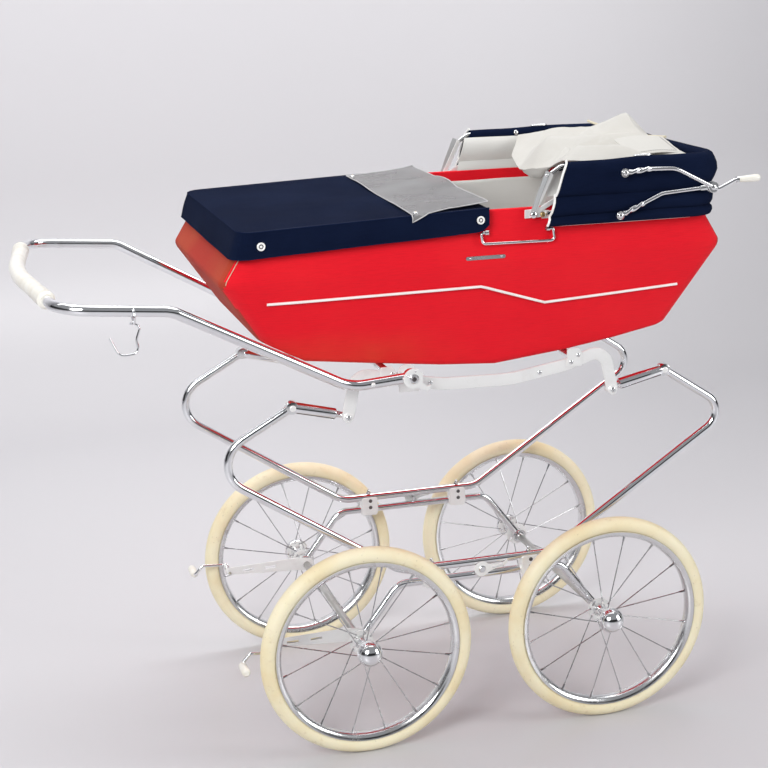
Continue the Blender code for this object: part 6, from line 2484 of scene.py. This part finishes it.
    def twisted(self, name: str, path: Sequence[Vector], low: float, high: float) -> bpy.types.Object:
        """Square bar with twisted ridges over a stretch of a path, between two distances along it.

        Args:
            name: name of what is made.
            path: centre line.
            low: distance where it starts.
            high: distance where it ends.

        Returns:
            The twisted bar.
        """
        lengths = [0.0]
        for a, b in zip(path, path[1:]):
            lengths.append(lengths[-1] + (b - a).length)
        rows = []
        for i in range(41):
            want = low + (high - low) * i / 40
            k = max(j for j, value in enumerate(lengths) if value <= want)
            k = min(k, len(path) - 2)
            run = (path[k + 1] - path[k]).normalized()
            centre = path[k] + run * (want - lengths[k])
            across = run.cross(Vector((0, 1, 0))).normalized()
            up = across.cross(run)
            turn = math.pi * 2.2 * i / 40
            taper = 0.0016 * min(1.0, i / 5, (40 - i) / 5)
            ring = []
            for step in range(20):
                angle = 2 * math.pi * step / 20
                bulge = 0.0030 + taper * abs(math.cos(angle - turn)) ** 1.5
                ring.append(centre + (across * math.cos(angle) + up * math.sin(angle)) * bulge)
            rows.append(ring)
        return grid(name, rows, CHROME, round_rows=True, caps=True)


# ---------------------------------------------------------------- studio
@dataclass
class Studio:
    """Pale floor and backdrop, soft lights and the camera."""

    camera_at: Vector = field(default_factory=lambda: Vector((-0.7686, -2.7132, 1.3233)))
    turn: float = math.radians(-16.28)
    tilt: float = math.radians(15.20)
    roll: float = math.radians(-1.078)
    lens: float = 80.45

    def build(self) -> None:
        """Make the camera, the sweep and the lights."""
        self.build_camera()
        self.build_sweep()
        self.build_lights()
        LOG.info("studio set")

    def build_camera(self) -> None:
        """Camera from its place and its three turns."""
        data = bpy.data.cameras.new("view")
        data.lens, data.sensor_width = self.lens, 36.0
        camera = bpy.data.objects.new("view", data)
        bpy.context.scene.collection.objects.link(camera)
        a, e, r = self.turn, self.tilt, self.roll
        back = Vector((math.sin(a) * math.cos(e), -math.cos(a) * math.cos(e), math.sin(e)))
        right = Vector((math.cos(a), math.sin(a), 0))
        up = back.cross(right)
        across = right * math.cos(r) + up * math.sin(r)
        tall = right * -math.sin(r) + up * math.cos(r)
        frame = Matrix((across, tall, back)).transposed().to_4x4()
        camera.matrix_world = Matrix.Translation(self.camera_at) @ frame
        bpy.context.scene.camera = camera

    def build_sweep(self) -> None:
        """Floor that curves up into a wall."""
        shape = bmesh.new()
        profile = [(-5.0, 0.0), (1.7, 0.0)]
        profile += [(1.7 + 0.6 * math.sin(math.pi / 2 * i / 8), 0.6 - 0.6 * math.cos(math.pi / 2 * i / 8))
                    for i in range(1, 9)]
        profile.append((2.3, 4.5))
        rows = [[shape.verts.new((x, y, z - 0.0004)) for x in (-7.0, 7.0)] for y, z in profile]
        for low, high in zip(rows, rows[1:]):
            shape.faces.new((low[0], low[1], high[1], high[0]))
        shade = Shade("studio_sweep")
        material = shade.surface(Base_Color=(0.60, 0.59, 0.61, 1.0), Roughness=0.34, Specular_IOR_Level=0.35)
        mesh = bpy.data.meshes.new("sweep")
        shape.to_mesh(mesh)
        shape.free()
        mesh.materials.append(material)
        mesh.shade_smooth()
        floor = bpy.data.objects.new("sweep", mesh)
        bpy.context.scene.collection.objects.link(floor)

    def light(self, name: str, at: tuple[float, float, float], size: tuple[float, float], power: float,
              aim: tuple[float, float, float] = (0.0, 0.0, 0.5)) -> None:
        """One soft rectangular light that faces aim.

        Args:
            name: name of what is made.
            at: place.
            size: two sizes.
            power: power in watts.
            aim: point that it faces.
        """
        data = bpy.data.lights.new(name, "AREA")
        data.shape, data.size, data.size_y, data.energy = "RECTANGLE", size[0], size[1], power
        made = bpy.data.objects.new(name, data)
        bpy.context.scene.collection.objects.link(made)
        made.location = at
        made.rotation_euler = (Vector(aim) - Vector(at)).to_track_quat("-Z", "Y").to_euler()

    def card(self, name: str, at: tuple[float, float, float], size: tuple[float, float], turn: float) -> None:
        """Upright dark card out of view, which bright metal reflects.

        Args:
            name: name of what is made.
            at: place.
            size: two sizes.
            turn: turn about Z.
        """
        shape = bmesh.new()
        wide, tall = size[0] / 2, size[1] / 2
        along = Vector((math.cos(turn), math.sin(turn), 0))
        corners = [Vector(at) + along * a * wide + UP * b * tall for a,
                   b in ((-1, -1), (1, -1), (1, 1), (-1, 1))]
        shape.faces.new([shape.verts.new(p) for p in corners])
        made = from_bmesh(name, shape, CARD, closed=False)

    def build_lights(self) -> None:
        """Large overhead light, a front light from the left, a weak fill and a pale surround."""
        self.light("overhead", (0.1, 0.5, 3.0), (2.8, 1.9), 40.0)
        self.light("front_left", (-2.2, -2.6, 2.3), (1.6, 1.6), 100.0)
        self.light("right_fill", (2.8, -1.8, 1.5), (1.3, 1.9), 42.0)
        self.light("backdrop", (0.0, 0.6, 2.6), (4.0, 0.8), 32.0, (0.0, 2.3, 1.2))
        bpy.context.scene.view_settings.view_transform = "Standard"
        self.card("card_front", (0.0, -4.4, 1.15), (6.0, 1.5), 0.0)
        self.card("card_left", (-3.4, -0.4, 1.0), (3.6, 1.4), math.radians(90))
        self.card("card_right", (3.4, -0.2, 1.0), (3.2, 1.4), math.radians(90))
        world = bpy.data.worlds.new("surround")
        world.use_nodes = True
        shell = world.node_tree.nodes["Background"]
        shell.inputs["Color"].default_value = (0.86, 0.87, 0.90, 1.0)
        shell.inputs["Strength"].default_value = 0.34
        bpy.context.scene.world = world


def main() -> None:
    """Load the frame, dress every sub-assembly and set the studio."""
    logging.basicConfig(level=logging.INFO, format="%(message)s")
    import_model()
    Studio().build()
    for end in ("front", "rear"):
        for side in Side:
            Wheel(end, side).build()
    CrossBars().build()
    for side in Side:
        SideFrame(side).build()
        FootBrake(side).build()
    PushHandle().build()
    Carrycot().build()
    Apron().build()
    Hood().build()


if __name__ == "__main__":
    main()
